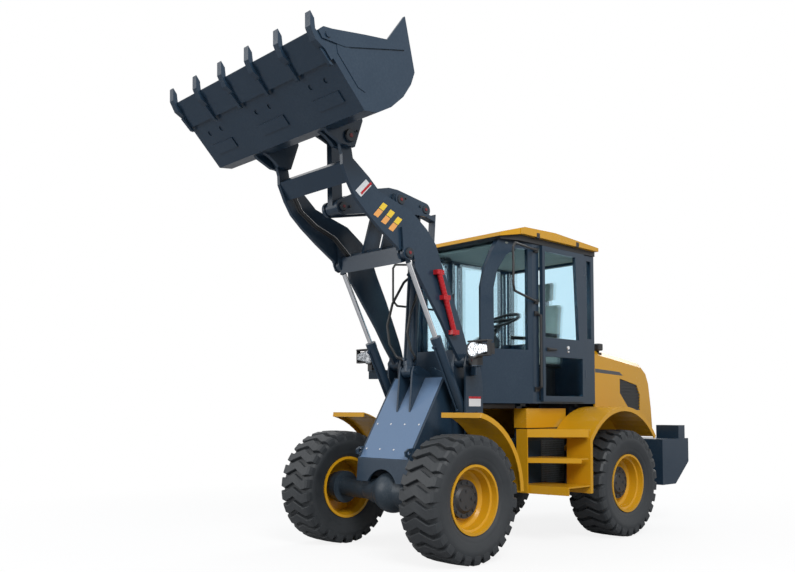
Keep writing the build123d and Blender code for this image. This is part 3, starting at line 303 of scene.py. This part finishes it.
def on_tyre(across, radius, along, centre):
    """Point of a tyre from its place across and along the tread."""
    turn = along / tread_radius
    return centre + Vector((across, -radius * math.sin(turn), radius * math.cos(turn)))


def finish_piece(name, build, finish, node):
    """Turns a mesh under construction into a dressed object that rides with a node's body."""
    mesh = bpy.data.meshes.new(name)
    build.to_mesh(mesh)
    build.free()
    piece = bpy.data.objects.new(name, mesh)
    bpy.context.collection.objects.link(piece)
    mesh.materials.append(finish)
    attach(piece, body_of(frame["nodes"][node])[0])
    return piece


def middle(node):
    """Middle of a node's box."""
    low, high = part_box(node)
    return (Vector(low) + Vector(high)) / 2


for corner in ("front_left", "front_right", "rear_left", "rear_right"):
    centre = middle(f"rim_{corner}")
    tread = bmesh.new()
    ring = [tread.verts.new((across, 0, radius)) for across, radius in tyre_profile]
    ring += [tread.verts.new((-across, 0, radius)) for across, radius in reversed(tyre_profile)]
    rim_edges = [tread.edges.new(pair) for pair in zip(ring, ring[1:])]
    bmesh.ops.spin(
        tread, geom=ring + rim_edges, cent=(0, 0, 0), axis=(1, 0, 0), angle=2 * math.pi, steps=104,
        use_merge=True
    )
    bmesh.ops.translate(tread, verts=tread.verts, vec=centre)
    for face in tread.faces:
        face.smooth = True
    for i in range(lugs_per_tyre):
        start = 2 * math.pi * tread_radius * i / lugs_per_tyre
        lug = bmesh.ops.create_grid(tread, x_segments=12, y_segments=3, size=1)["verts"]
        faces = list({face for vert in lug for face in vert.link_faces})
        block = bmesh.ops.extrude_face_region(tread, geom=faces)["geom"]
        foot = [part for part in block if isinstance(part, bmesh.types.BMVert)]
        for verts, is_foot in ((lug, False), (foot, True)):
            for vert in verts:
                column, row = round((vert.co.x + 1) * 6) - 6, round((vert.co.y + 1) * 1.5)
                across, top, foot_across, foot_radius = lug_rows[abs(column)]
                reach = (-1, -0.9, 0.9, 1)[row] * (lug_half + (0.006 if is_foot else 0))
                radius = foot_radius if is_foot else top - (0.004 if row in (0, 3) else 0)
                side = math.copysign(foot_across if is_foot else across, column)
                vert.co = on_tyre(side, radius, start - lug_shift(across) + reach, centre)
    bmesh.ops.recalc_face_normals(tread, faces=tread.faces)
    tyre = finish_piece(f"tread_{corner}", tread, rubber, f"tyre_{corner}")
    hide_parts(f"tyre_{corner}")
    dress(ochre, f"rim_{corner}")
    dress(black_casting, f"hub_{corner}")
dress(black_casting, "engine", "transmission", "side_boxes")
hose_black = matt_finish("hose_black", (0.006, 0.007, 0.008), (0.014, 0.015, 0.017), 0.36, 600.0, 0.0003)
dress(hose_black, "tilt_hoses", "boom_hoses")
dress(black_plastic, "roof_liner", "steering_column", "cab_fittings", "hood_grilles")

# Cab glazing. Laminated safety glass with a pale blue tint, bonded into the cab and the
# door, a little smeared.
glazing = bpy.data.materials.new("cab_glazing")
glazing.use_nodes = True
glass_nodes, glass_links = glazing.node_tree.nodes, glazing.node_tree.links
glass_shader = glass_nodes["Principled BSDF"]
glass_shader.inputs["Transmission Weight"].default_value = 1.0
glass_shader.inputs["IOR"].default_value = 1.03
glass_shader.inputs["Alpha"].default_value = 0.70
smear_place = glass_nodes.new("ShaderNodeTexCoord")
smear = glass_nodes.new("ShaderNodeTexNoise")
smear.inputs["Scale"].default_value = 3.0
smear.inputs["Detail"].default_value = 5.0
glass_links.new(smear_place.outputs["Object"], smear.inputs["Vector"])
tint = glass_nodes.new("ShaderNodeMix")
tint.data_type = "RGBA"
tint.inputs["A"].default_value = (0.60, 0.84, 0.95, 1)
tint.inputs["B"].default_value = (0.68, 0.88, 0.965, 1)
glass_links.new(smear.outputs["Fac"], tint.inputs["Factor"])
glass_links.new(tint.outputs["Result"], glass_shader.inputs["Base Color"])
gloss_map = glass_nodes.new("ShaderNodeMapRange")
gloss_map.inputs["To Min"].default_value = 0.0
gloss_map.inputs["To Max"].default_value = 0.04
glass_links.new(smear.outputs["Fac"], gloss_map.inputs["Value"])
glass_links.new(gloss_map.outputs["Result"], glass_shader.inputs["Roughness"])
dress(glazing, "cab_glass", "door_glass")

# Headlamps. Black moulded housings with clear lenses over bright reflectors, the lenses'
# facets carrying painted glints, and a clear turn lamp beside each.
lens = metal_finish("lamp_lens", (0.80, 0.82, 0.84), 0.12, 0.8)
# Painted glints: each facet is dark in its middle and pale towards its edges, standing in for the
# reflector's light seen through the faceted glass.
facets = lens.node_tree.nodes.new("ShaderNodeTexVoronoi")
facets.inputs["Scale"].default_value = 55.0
facet_place = lens.node_tree.nodes.new("ShaderNodeTexCoord")
lens.node_tree.links.new(facet_place.outputs["Object"], facets.inputs["Vector"])
facet_glints = lens.node_tree.nodes.new("ShaderNodeValToRGB")
facet_glints.color_ramp.elements[0].color = (0.03, 0.035, 0.04, 1)
facet_glints.color_ramp.elements[1].color = (0.50, 0.53, 0.56, 1)
facet_glints.color_ramp.elements[0].position = 0.15
facet_glints.color_ramp.elements[1].position = 0.62
lens.node_tree.links.new(facets.outputs["Distance"], facet_glints.inputs["Fac"])
lens.node_tree.links.new(
    facet_glints.outputs["Color"], lens.node_tree.nodes["Principled BSDF"].inputs["Base Color"],
)
reflector = metal_finish("lamp_reflector", (0.62, 0.64, 0.66), 0.22, 0.9)
dress(black_plastic, "headlamps")


def disc(build, centre, direction, radius, depth, inner=0.0, segments=40):
    """Round plate, cone or ring, thick from its centre towards a direction."""
    made = bmesh.ops.create_cone(
        build, cap_ends=True, segments=segments, radius1=radius, radius2=radius - inner, depth=depth
    )["verts"]
    turn = Vector(direction).to_track_quat("Z", "Y").to_matrix().to_4x4()
    place = Matrix.Translation(Vector(centre) + Vector(direction).normalized() * depth / 2) @ turn
    bmesh.ops.transform(build, matrix=place, verts=made)
    return made


def slab(build, low, high, edge=0.0):
    """Rounded block between two corners."""
    low, high = Vector(low), Vector(high)
    made = bmesh.ops.create_cube(build, size=1)["verts"]
    spread = [abs(high[i] - low[i]) for i in range(3)]
    bmesh.ops.scale(build, vec=spread, verts=made)
    bmesh.ops.translate(build, vec=(low + high) / 2, verts=made)
    if edge:
        lines = list({line for vert in made for line in vert.link_edges})
        bmesh.ops.bevel(
            build, geom=lines, offset=edge, segments=2, affect="EDGES", profile=0.5, material=-1,
            clamp_overlap=True
        )


lamp_low, lamp_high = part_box("headlamps")
for hand, sign in (("left", 1), ("right", -1)):
    eye = Vector((sign * (lamp_high[0] - 0.175), lamp_low[1], lamp_high[2] - 0.078))
    glass_face = bmesh.new()
    disc(glass_face, eye, (0, -1, 0), 0.068, 0.006, 0.010)
    slab(
        glass_face, eye + Vector((sign * 0.050, -0.003, -0.050)),
        eye + Vector((sign * 0.168, 0.034, 0.052)), 0.010,
    )
    for vert in glass_face.verts:
        if vert.co.x * sign > eye.x * sign + 0.11:
            vert.co.z = eye.z + 0.62 * (vert.co.z - eye.z)
    finish_piece(f"lamp_lens_{hand}", glass_face, lens, "headlamps")
    bowl = bmesh.new()
    for shift in (-0.027, 0.027):
        disc(bowl, eye + Vector((0, -0.0055, shift)), (0, -1, 0), 0.024, 0.004, 0.006, 24)
    for shift in (-0.030, 0.0, 0.030):
        slab(
            bowl, eye + Vector((shift - 0.001, -0.0085, -0.06)),
            eye + Vector((shift + 0.001, -0.005, 0.06)),
        )
    finish_piece(f"lamp_bowl_{hand}", bowl, reflector, "headlamps")
    visor = bmesh.new()
    slab(
        visor, eye + Vector((sign * -0.060, -0.012, 0.062)),
        eye + Vector((sign * 0.172, 0.060, 0.078)), 0.006,
    )
    slab(
        visor, eye + Vector((sign * 0.060, -0.006, -0.062)),
        eye + Vector((sign * 0.172, 0.040, -0.048)), 0.005,
    )
    slab(
        visor, eye + Vector((sign * 0.160, -0.006, -0.062)),
        eye + Vector((sign * 0.174, 0.040, 0.070)), 0.005,
    )
    finish_piece(f"lamp_visor_{hand}", visor, black_plastic, "headlamps")

# Roof lamps and flood lamp. Black drums with clear faces hang under the roof's front
# corners, and a small black flood lamp stands on a bracket at the hood's front corner.
roof_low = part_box("roof_liner")[0]
for hand, sign in (("left", 1), ("right", -1)):
    spot = Vector((sign * 0.426, roof_low[1] + 0.235, roof_low[2] + 0.012))
    drum = bmesh.new()
    disc(drum, spot + Vector((0, 0.05, -0.045)), (0, -1, -0.25), 0.052, 0.075, 0.006)
    disc(drum, spot + Vector((0, 0.03, -0.02)), (0, 0, 1), 0.018, 0.03)
    finish_piece(f"roof_lamp_{hand}", drum, black_plastic, "roof_liner")
    face = bmesh.new()
    disc(face, spot + Vector((0, -0.0235, -0.0633)), (0, -1, -0.25), 0.043, 0.004)
    finish_piece(f"roof_lamp_face_{hand}", face, lens, "roof_liner")
hood_low, hood_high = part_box("hood")
flood = bmesh.new()
post = Vector((hood_high[0] - 0.045, hood_low[1] + 0.13, hood_high[2] - 0.115))
slab(flood, post + Vector((-0.03, -0.03, -0.02)), post + Vector((0.03, 0.03, 0.03)), 0.004)
slab(flood, post + Vector((-0.012, -0.012, 0.02)), post + Vector((0.012, 0.012, 0.06)), 0.003)
slab(flood, post + Vector((-0.045, -0.05, 0.05)), post + Vector((0.045, 0.035, 0.125)), 0.012)
finish_piece("flood_lamp", flood, black_plastic, "hood")

# Paint marks. Plain slanted bands on the left arm, a dark band along each side of the
# hood, and bare white plates on the arm and tower, all thin film laid on the paint.
band_yellow = matt_finish("band_yellow", (0.80, 0.55, 0.03), (0.70, 0.48, 0.05), 0.42, 300.0, 0.0001)
band_orange = matt_finish("band_orange", (0.80, 0.36, 0.09), (0.68, 0.31, 0.09), 0.42, 300.0, 0.0001)
band_dark = matt_finish("band_dark", (0.045, 0.050, 0.058), (0.070, 0.074, 0.080), 0.45, 300.0, 0.0001)
plate_white = matt_finish("plate_white", (0.72, 0.73, 0.74), (0.62, 0.63, 0.64), 0.40, 300.0, 0.0001)
front_axle_y = middle("front_axle").y


def film(name, x, outline, finish, node, thick=0.0012):
    """Thin film on a face across X, from its (station, height) outline in metres."""
    build = bmesh.new()
    corners = [build.verts.new((x, front_axle_y + station, height)) for station, height in outline]
    face = build.faces.new(corners)
    raised = bmesh.ops.extrude_face_region(build, geom=[face])["geom"]
    out = math.copysign(thick, x)
    bmesh.ops.translate(
        build, vec=(out, 0, 0),
        verts=[part for part in raised if isinstance(part, bmesh.types.BMVert)],
    )
    bmesh.ops.recalc_face_normals(build, faces=build.faces)
    return finish_piece(name, build, finish, node)


arm_face = 0.4451
for i in range(3):
    shift_s, shift_z = 0.083 * i, -0.046 * i
    low_end = [(-0.640, 2.850), (-0.590, 2.832), (-0.535, 2.892), (-0.585, 2.910)]
    top_end = [(-0.580, 2.915), (-0.530, 2.897), (-0.482, 2.950), (-0.532, 2.968)]
    film(
        f"arm_band_low_{i + 1}", arm_face, [(s + shift_s, z + shift_z) for s, z in low_end],
        band_orange, "boom",
    )
    film(
        f"arm_band_top_{i + 1}", arm_face, [(s + shift_s, z + shift_z) for s, z in top_end],
        band_yellow, "boom",
    )
arm_plate = [(-0.721, 3.125), (-0.662, 3.084), (-0.774, 2.972), (-0.833, 3.013)]
film("arm_plate", arm_face, arm_plate, plate_white, "boom")
film(
    "arm_plate_edge", arm_face + 0.0012,
    [(-0.671, 3.114), (-0.656, 3.100), (-0.766, 2.990), (-0.781, 3.004)], red, "boom",
    0.0006,
)
tower_face = 0.5101
film(
    "tower_plate_edge", tower_face + 0.0012,
    [(0.440, 1.358), (0.600, 1.358), (0.600, 1.378), (0.440, 1.378)], red, "front_frame",
    0.0006,
)
film(
    "tower_plate", tower_face, [(0.440, 1.290), (0.600, 1.290), (0.600, 1.378), (0.440, 1.378)],
    plate_white, "front_frame",
)
hood_band = [(1.345 + 1.052, 1.652), (1.345 + 1.052, 1.690), (2.86, 1.668), (2.93, 1.630)]
film("hood_band_left", hood_high[0] + 0.0001, hood_band, band_dark, "hood")
film("hood_band_right", -hood_high[0] - 0.0001, hood_band, band_dark, "hood")

# Door furniture and wiper. A black pull handle and a round lock on the door's middle
# rail, and a black wiper on the windscreen.
door_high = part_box("door_left")[1]
handle = bmesh.new()
slab(
    handle, (door_high[0], front_axle_y + 1.470, 1.826),
    (door_high[0] + 0.012, front_axle_y + 1.530, 1.862), 0.003,
)
slab(
    handle, (door_high[0] + 0.010, front_axle_y + 1.472, 1.834),
    (door_high[0] + 0.026, front_axle_y + 1.610, 1.856), 0.006,
)
finish_piece("door_handle", handle, black_plastic, "door_left")
lock = bmesh.new()
disc(lock, (door_high[0], front_axle_y + 1.819, 1.875), (1, 0, 0), 0.020, 0.008, 0.003)
disc(lock, (door_high[0], front_axle_y + 1.822, 1.835), (1, 0, 0), 0.012, 0.008, 0.003)
finish_piece("door_lock", lock, chrome, "door_left")
screen_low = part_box("cab_glass")[0]
wiper = bmesh.new()
slab(wiper, (0.085, screen_low[1] - 0.014, 1.86), (0.100, screen_low[1] - 0.004, 2.36), 0.003)
slab(wiper, (0.080, screen_low[1] - 0.020, 1.81), (0.105, screen_low[1] + 0.004, 1.88), 0.004)
finish_piece("wiper", wiper, black_plastic, "cab")

# Side box fronts. Square-mesh screens of punched sheet over black sheets that paint the shade
# seen through the holes, and beside each a bolted slate panel.
box_low, box_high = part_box("side_boxes")
# Painted shade: near-black for the dark inside of the box seen through the screen's holes.
screen_shade_black = matt_finish(
    "screen_painted_shade", (0.004, 0.004, 0.005), (0.010, 0.010, 0.011), 0.8, 200.0, 0.0002,
)
screen_steel = metal_finish("screen_steel", (0.13, 0.15, 0.16), 0.45, 0.4)
for hand, sign in (("left", 1), ("right", -1)):
    mesh_screen = bmesh.new()
    face_x = box_high[0]
    start, stop = front_axle_y + 1.565, front_axle_y + 1.935
    low, high = box_low[2] + 0.05, box_low[2] + 0.47
    pitch, bar = 0.0225, 0.0115
    for i in range(int((stop - start) / pitch) + 1):
        y = start + pitch * i
        slab(mesh_screen, (sign * face_x, y, low), (sign * (face_x + 0.004), y + bar, high))
    for i in range(int((high - low) / pitch) + 1):
        z = low + pitch * i
        slab(mesh_screen, (sign * face_x, start, z), (sign * (face_x + 0.0035), stop, z + bar))
    finish_piece(f"vent_screen_{hand}", mesh_screen, screen_steel, "side_boxes")
    # A black sheet behind the screen paints the shade in its holes.
    shade_sheet = bmesh.new()
    slab(shade_sheet, (sign * face_x, start, low), (sign * (face_x + 0.001), stop, high))
    finish_piece(f"vent_shade_sheet_{hand}", shade_sheet, screen_shade_black, "side_boxes")
    front_panel = bmesh.new()
    slab(
        front_panel, (sign * face_x, front_axle_y + 1.335, low),
        (sign * (face_x + 0.004), start - 0.012, high), 0.0015,
    )
    for height in (low + 0.10, low + 0.36):
        disc(
            front_panel, (sign * (face_x + 0.003), front_axle_y + 1.36, height), (sign, 0, 0),
            0.010, 0.006, 0.002, 6,
        )
    finish_piece(f"vent_panel_{hand}", front_panel, slate, "side_boxes")

# Tail lamps. Red lenses of moulded plastic let into the rear of the boxes on the
# counterweight.
tail_low, tail_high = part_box("tail_boxes")
lens_red = metal_finish("tail_lens", (0.50, 0.02, 0.02), 0.16, 0.0)
for hand, sign in (("left", 1), ("right", -1)):
    tail = bmesh.new()
    slab(
        tail, (sign * 0.60, tail_high[1] - 0.001, tail_low[2] + 0.04),
        (sign * 0.76, tail_high[1] + 0.008, tail_high[2] - 0.035), 0.004,
    )
    finish_piece(f"tail_lamp_{hand}", tail, lens_red, "tail_boxes")

# Cover bolts. Small bright hexagon heads in two rows, screwed into the front frame, hold
# its sloped cover down.
bolts = bmesh.new()
slope = (Vector((0, 0.322, 1.560)) - Vector((0, -0.130, 0.819))).normalized()
out = Vector((0, -slope.z, slope.y))
for across in (-0.27, -0.09, 0.09, 0.27):
    for along in (0.10, 0.36):
        foot = Vector((across, front_axle_y - 0.130, 0.819)) + slope * along
        disc(bolts, foot - out * 0.001, out, 0.011, 0.008, 0.0015, 6)
finish_piece("cover_bolts", bolts, chrome, "front_frame")

# Sloped cover. A sheet of steel closes the front frame between its side plates, under the
# bolts. Its brighter, bluer slate is a painted reflection of the sky on the slope.
# Painted reflection: this lighter blue-grey stands in for the sky's sheen on the sloped cover.
sky_sheen_paint = paint_finish("slope_sky_reflection", (0.115, 0.185, 0.300), (0.17, 0.23, 0.32), 0.22, 0.20)
sheet = bmesh.new()
foot = Vector((0, front_axle_y - 0.130, 0.819)) + out * 0.0005
sheet_half, sheet_foot, sheet_head = 0.309, 0.012, 0.855
corners = [
    foot + Vector((side * sheet_half, 0, 0)) + slope * reach
    for side, reach in ((-1, sheet_foot), (1, sheet_foot), (1, sheet_head), (-1, sheet_head))
]
face = sheet.faces.new([sheet.verts.new(corner) for corner in corners])
raised = bmesh.ops.extrude_face_region(sheet, geom=[face])["geom"]
bmesh.ops.translate(
    sheet, vec=out * 0.003,
    verts=[part for part in raised if isinstance(part, bmesh.types.BMVert)],
)
bmesh.ops.recalc_face_normals(sheet, faces=sheet.faces)
finish_piece("slope_sky_sheen", sheet, sky_sheen_paint, "front_frame")

# Pin caps. Each pivot pin ends in a turned black collar with a red grease cap, held by
# one keeper bolt beside it.
collar_black = paint_finish("collar_paint", (0.018, 0.024, 0.032), (0.05, 0.06, 0.07), 0.30, 0.15)
cap_red = matt_finish("grease_cap", (0.20, 0.010, 0.016), (0.14, 0.010, 0.014), 0.45, 300.0, 0.0002)
pins = {joint["name"]: Vector(joint["pos_m"]) for joint in frame["joints"] if "pos_m" in joint}
caps = [
    # name, pivot, nodes it may end on, collar radius, keeper's way (y, z)
    ("bucket_pin", pins["bucket_tilt"], ("boom", "bucket"), 0.052, (0.07, 0.05)),
    ("rocker_pin", pins["rocker_pivot"], ("rocker", "boom"), 0.045, (0.06, 0.02)),
    ("link_pin", pins["link_pivot"], ("rocker", "link"), 0.040, (0.07, 0.01)),
    ("boom_pin", pins["boom_lift"], ("front_frame",), 0.050, (0.06, 0.05)),
    ("lift_foot_pin", pins["lift_left_foot"], ("front_frame",), 0.042, (0.05, 0.05)),
    ("rocker_rear_pin", Vector((0, front_axle_y + 0.309, 3.105)), ("rocker",), 0.040, (-0.07, 0.02)),
    ("lift_rod_pin", Vector((0, front_axle_y - 0.262, 2.580)), ("boom",), 0.045, (0.05, -0.06)),
    ("bucket_link_pin", Vector((0, front_axle_y - 0.700, 3.600)), ("bucket",), 0.036, (0.05, 0.05)),
]
for cap_name, pivot, names, radius, (aside, above) in caps:
    for hand, sign in (("left", 1), ("right", -1)):
        reach = 0.0
        for name in names:
            hit, place_hit, _, _ = frame["nodes"][name].ray_cast(
                Vector((sign * 2.0, pivot.y + 0.003, pivot.z + 0.002)), Vector((-sign, 0, 0))
            )
            if hit and place_hit.x * sign > reach:
                reach = place_hit.x * sign
        if not reach:
            continue
        rider = names[0]
        spot = Vector((sign * (reach - 0.001), pivot.y, pivot.z))
        collar = bmesh.new()
        disc(collar, spot, (sign, 0, 0), radius, 0.011, 0.005)
        disc(collar, spot + Vector((0, aside, above)), (sign, 0, 0), 0.013, 0.012, 0.002, 6)
        finish_piece(f"{cap_name}_collar_{hand}", collar, collar_black, rider)
        cap = bmesh.new()
        disc(cap, spot + Vector((sign * 0.009, 0, 0)), (sign, 0, 0), radius * 0.36, 0.007, 0.003)
        finish_piece(f"{cap_name}_cap_{hand}", cap, cap_red, rider)

# Under the cab. A black moulded tray covers the valve block and pipes in front of the
# cab's mounts, with a lip along its front edge.
tray = bmesh.new()
slab(tray, (-0.395, front_axle_y + 0.725, 1.270), (0.395, front_axle_y + 1.240, 1.319), 0.01)
slab(tray, (-0.36, front_axle_y + 0.735, 1.14), (0.36, front_axle_y + 0.775, 1.272), 0.006)
finish_piece("under_tray", tray, black_plastic, "cab")

# Roof clips. Black plastic clips hold the roof's skin along its edges, two on the left
# and two on the right.
clip_stations = (1.30, 1.95)
clips = bmesh.new()
for sign in (1, -1):
    for station in clip_stations:
        slab(
            clips, (sign * 0.600, front_axle_y + station, 2.905),
            (sign * 0.6225, front_axle_y + station + 0.05, 2.955), 0.003,
        )
finish_piece("roof_clips", clips, black_plastic, "roof")

# Cab lining. A pale moulded headliner of pressed fibre, pushed up under the roof between
# the cab's walls.
lining = matt_finish("headliner", (0.30, 0.33, 0.30), (0.25, 0.28, 0.26), 0.75, 90.0, 0.0006)
ceiling = bmesh.new()
slab(ceiling, (-0.50, front_axle_y + 0.98, 2.825), (0.50, front_axle_y + 2.29, 2.850), 0.012)
finish_piece("headliner", ceiling, lining, "cab")

# Operator's seat. Sprung base under a crowned cushion, a high back and a headrest, all
# foam under a grey-green fabric cover with sewn edges.
cover = matt_finish("seat_cover", (0.23, 0.27, 0.24), (0.32, 0.35, 0.31), 0.85, 260.0, 0.0015)
cover.node_tree.nodes["Principled BSDF"].inputs["Sheen Weight"].default_value = 0.4
seat_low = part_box("seat")[0]
foam_voxel, foam_pressure, foam_steps, most_swell = 0.009, 4.0, 20, 0.014
pads = [
    # name, low corner, high corner, tilt about X in degrees, fill
    ("seat_cushion", (-0.235, front_axle_y + 1.86, 1.735), (0.235, front_axle_y + 2.24, 1.850), 0, 0.7),
    ("seat_back", (-0.225, front_axle_y + 2.165, 1.880), (0.225, front_axle_y + 2.255, 2.390), -4, 0.7),
    (
        "seat_headrest", (-0.125, front_axle_y + 2.200, 2.425),
        (0.125, front_axle_y + 2.262, 2.630), -4, 0.7,
    ),
]
for pad_name, low, high, lean, fill in pads:
    build = bmesh.new()
    slab(build, low, high, 0.028)
    middle_point = (Vector(low) + Vector(high)) / 2
    bmesh.ops.rotate(
        build, cent=middle_point, matrix=Matrix.Rotation(math.radians(lean), 3, "X"),
        verts=build.verts,
    )
    pad = finish_piece(pad_name, build, cover, "seat")
    remesh = pad.modifiers.new("remesh", "REMESH")
    remesh.mode = "VOXEL"
    remesh.voxel_size = foam_voxel
    soft = bpy.data.meshes.new_from_object(pad.evaluated_get(bpy.context.evaluated_depsgraph_get()))
    pad.modifiers.clear()
    pad.data = soft
    if not soft.materials:
        soft.materials.append(cover)
    rest = [vert.co.copy() for vert in soft.vertices]
    filling = pad.modifiers.new("filling", "CLOTH")
    filling.settings.use_pressure = True
    filling.settings.uniform_pressure_force = foam_pressure
    filling.settings.effector_weights.gravity = 0.0
    filling.point_cache.frame_end = foam_steps
    for step in range(1, foam_steps + 1):
        bpy.context.scene.frame_set(step)
    filled = pad.evaluated_get(bpy.context.evaluated_depsgraph_get()).to_mesh()
    grown = [vert.co.copy() for vert in filled.vertices]
    pad.modifiers.clear()
    for vert, start, end in zip(soft.vertices, rest, grown):
        move = end - start
        vert.co = start + move * min(1.0, most_swell / max(move.length, 1e-9))
    bpy.context.scene.frame_set(1)
    rounding = pad.modifiers.new("rounding", "SUBSURF")
    rounding.levels = 1
    rounding.render_levels = 1
    for face in pad.data.polygons:
        face.use_smooth = True
    if pad_name == "seat_cushion":
        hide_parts("seat")
base = bmesh.new()
slab(base, (-0.17, front_axle_y + 1.96, seat_low[2]), (0.17, front_axle_y + 2.20, 1.72), 0.02)
slab(base, (-0.22, front_axle_y + 1.90, 1.70), (0.22, front_axle_y + 2.24, 1.738), 0.012)
slab(base, (-0.05, front_axle_y + 2.215, 1.72), (0.05, front_axle_y + 2.262, 2.50), 0.008)
for sign in (1, -1):
    slab(
        base, (sign * 0.20, front_axle_y + 1.92, 2.02), (sign * 0.235, front_axle_y + 2.19, 2.06),
        0.012,
    )
finish_piece("seat_base", base, black_plastic, "seat")

# Studio. A pale floor that keeps the machine's shadow, a plain sky, three soft lamps, and
# the camera at the machine's left front corner.
floor = bpy.data.meshes.new("studio_floor")
ground = bmesh.new()
bmesh.ops.create_grid(ground, x_segments=1, y_segments=1, size=40)
ground.to_mesh(floor)
ground.free()
studio = bpy.data.objects.new("studio_floor", floor)
bpy.context.collection.objects.link(studio)
studio_paint = bpy.data.materials.new("studio_white")
studio_paint.use_nodes = True
studio_nodes, studio_links = studio_paint.node_tree.nodes, studio_paint.node_tree.links
floor_shader = studio_nodes["Principled BSDF"]
floor_shader.inputs["Roughness"].default_value = 0.9
white = studio_nodes.new("ShaderNodeEmission")
white.inputs["Color"].default_value = (1, 1, 1, 1)
ray = studio_nodes.new("ShaderNodeLightPath")
floor_tone = studio_nodes.new("ShaderNodeMix")
floor_tone.data_type = "RGBA"
floor_tone.inputs["A"].default_value = (0.40, 0.40, 0.41, 1)
floor_tone.inputs["B"].default_value = (0.88, 0.88, 0.89, 1)
studio_links.new(ray.outputs["Is Camera Ray"], floor_tone.inputs["Factor"])
studio_links.new(floor_tone.outputs["Result"], floor_shader.inputs["Base Color"])
clear_view = studio_nodes.new("ShaderNodeMath")
clear_view.operation = "MAXIMUM"
studio_links.new(ray.outputs["Is Camera Ray"], clear_view.inputs[0])
studio_links.new(ray.outputs["Is Transmission Ray"], clear_view.inputs[1])
seen = studio_nodes.new("ShaderNodeMath")
seen.operation = "MULTIPLY"
floor_place = studio_nodes.new("ShaderNodeTexCoord")
away = studio_nodes.new("ShaderNodeVectorMath")
away.operation = "LENGTH"
studio_links.new(floor_place.outputs["Object"], away.inputs[0])
fade = studio_nodes.new("ShaderNodeMapRange")
fade.inputs["From Min"].default_value = 3.0
fade.inputs["From Max"].default_value = 7.0
fade.inputs["To Min"].default_value = 0.86
fade.inputs["To Max"].default_value = 1.0
studio_links.new(away.outputs["Value"], fade.inputs["Value"])
studio_links.new(fade.outputs["Result"], seen.inputs[1])
studio_links.new(clear_view.outputs[0], seen.inputs[0])
blend = studio_nodes.new("ShaderNodeMixShader")
studio_links.new(seen.outputs[0], blend.inputs["Fac"])
studio_links.new(floor_shader.outputs["BSDF"], blend.inputs[1])
studio_links.new(white.outputs["Emission"], blend.inputs[2])
studio_links.new(blend.outputs["Shader"], studio_nodes["Material Output"].inputs["Surface"])
floor.materials.append(studio_paint)

sky = bpy.data.worlds.new("studio_sky")
sky.use_nodes = True
bpy.context.scene.world = sky
sky_nodes, sky_links = sky.node_tree.nodes, sky.node_tree.links
light_sky = sky_nodes["Background"]
light_sky.inputs["Color"].default_value = (0.90, 0.95, 1.0, 1)
light_sky.inputs["Strength"].default_value = 0.42
plain_sky = sky_nodes.new("ShaderNodeBackground")
plain_sky.inputs["Color"].default_value = (1, 1, 1, 1)
plain_sky.inputs["Strength"].default_value = 1.0
sky_ray = sky_nodes.new("ShaderNodeLightPath")
sky_mix = sky_nodes.new("ShaderNodeMixShader")
sky_through = sky_nodes.new("ShaderNodeMath")
sky_through.operation = "MAXIMUM"
sky_links.new(sky_ray.outputs["Is Camera Ray"], sky_through.inputs[0])
sky_links.new(sky_ray.outputs["Is Transmission Ray"], sky_through.inputs[1])
sky_bright = sky_nodes.new("ShaderNodeMath")
sky_bright.operation = "MAXIMUM"
sky_links.new(sky_through.outputs[0], sky_bright.inputs[0])
sky_links.new(sky_ray.outputs["Is Glossy Ray"], sky_bright.inputs[1])
sky_links.new(sky_bright.outputs[0], sky_mix.inputs["Fac"])
sky_links.new(light_sky.outputs["Background"], sky_mix.inputs[1])
sky_links.new(plain_sky.outputs["Background"], sky_mix.inputs[2])
sky_links.new(sky_mix.outputs["Shader"], sky_nodes["World Output"].inputs["Surface"])

lamps = [
    # name, place, aim, size, watts
    ("key_lamp", (9.0, -5.5, 9.0), (0, 0, 1.6), 5.0, 1250),
    ("front_lamp", (-5.0, -10.0, 5.0), (0, -0.8, 1.5), 6.0, 420),
    ("back_lamp", (-3.0, 9.0, 8.0), (0, 0, 2.0), 6.0, 420),
]
for lamp_name, place, aim, size, watts in lamps:
    light = bpy.data.lights.new(lamp_name, "AREA")
    light.size = size
    light.energy = watts
    lamp = bpy.data.objects.new(lamp_name, light)
    towards = (Vector(aim) - Vector(place)).to_track_quat("-Z", "Y")
    lamp.matrix_world = Matrix.Translation(place) @ towards.to_matrix().to_4x4()
    bpy.context.collection.objects.link(lamp)

view = bpy.data.cameras.new("front_corner")
view.sensor_width = 36.0
view.lens = 37.85
view.shift_y = 0.0999
view.clip_end = 200.0
camera = bpy.data.objects.new("front_corner", view)
camera.location = (5.489, -6.168, 1.264)
camera.rotation_euler = (math.radians(93.0), 0.0, math.radians(46.74))
bpy.context.collection.objects.link(camera)
bpy.context.scene.camera = camera
bpy.context.scene.view_settings.view_transform = "Standard"
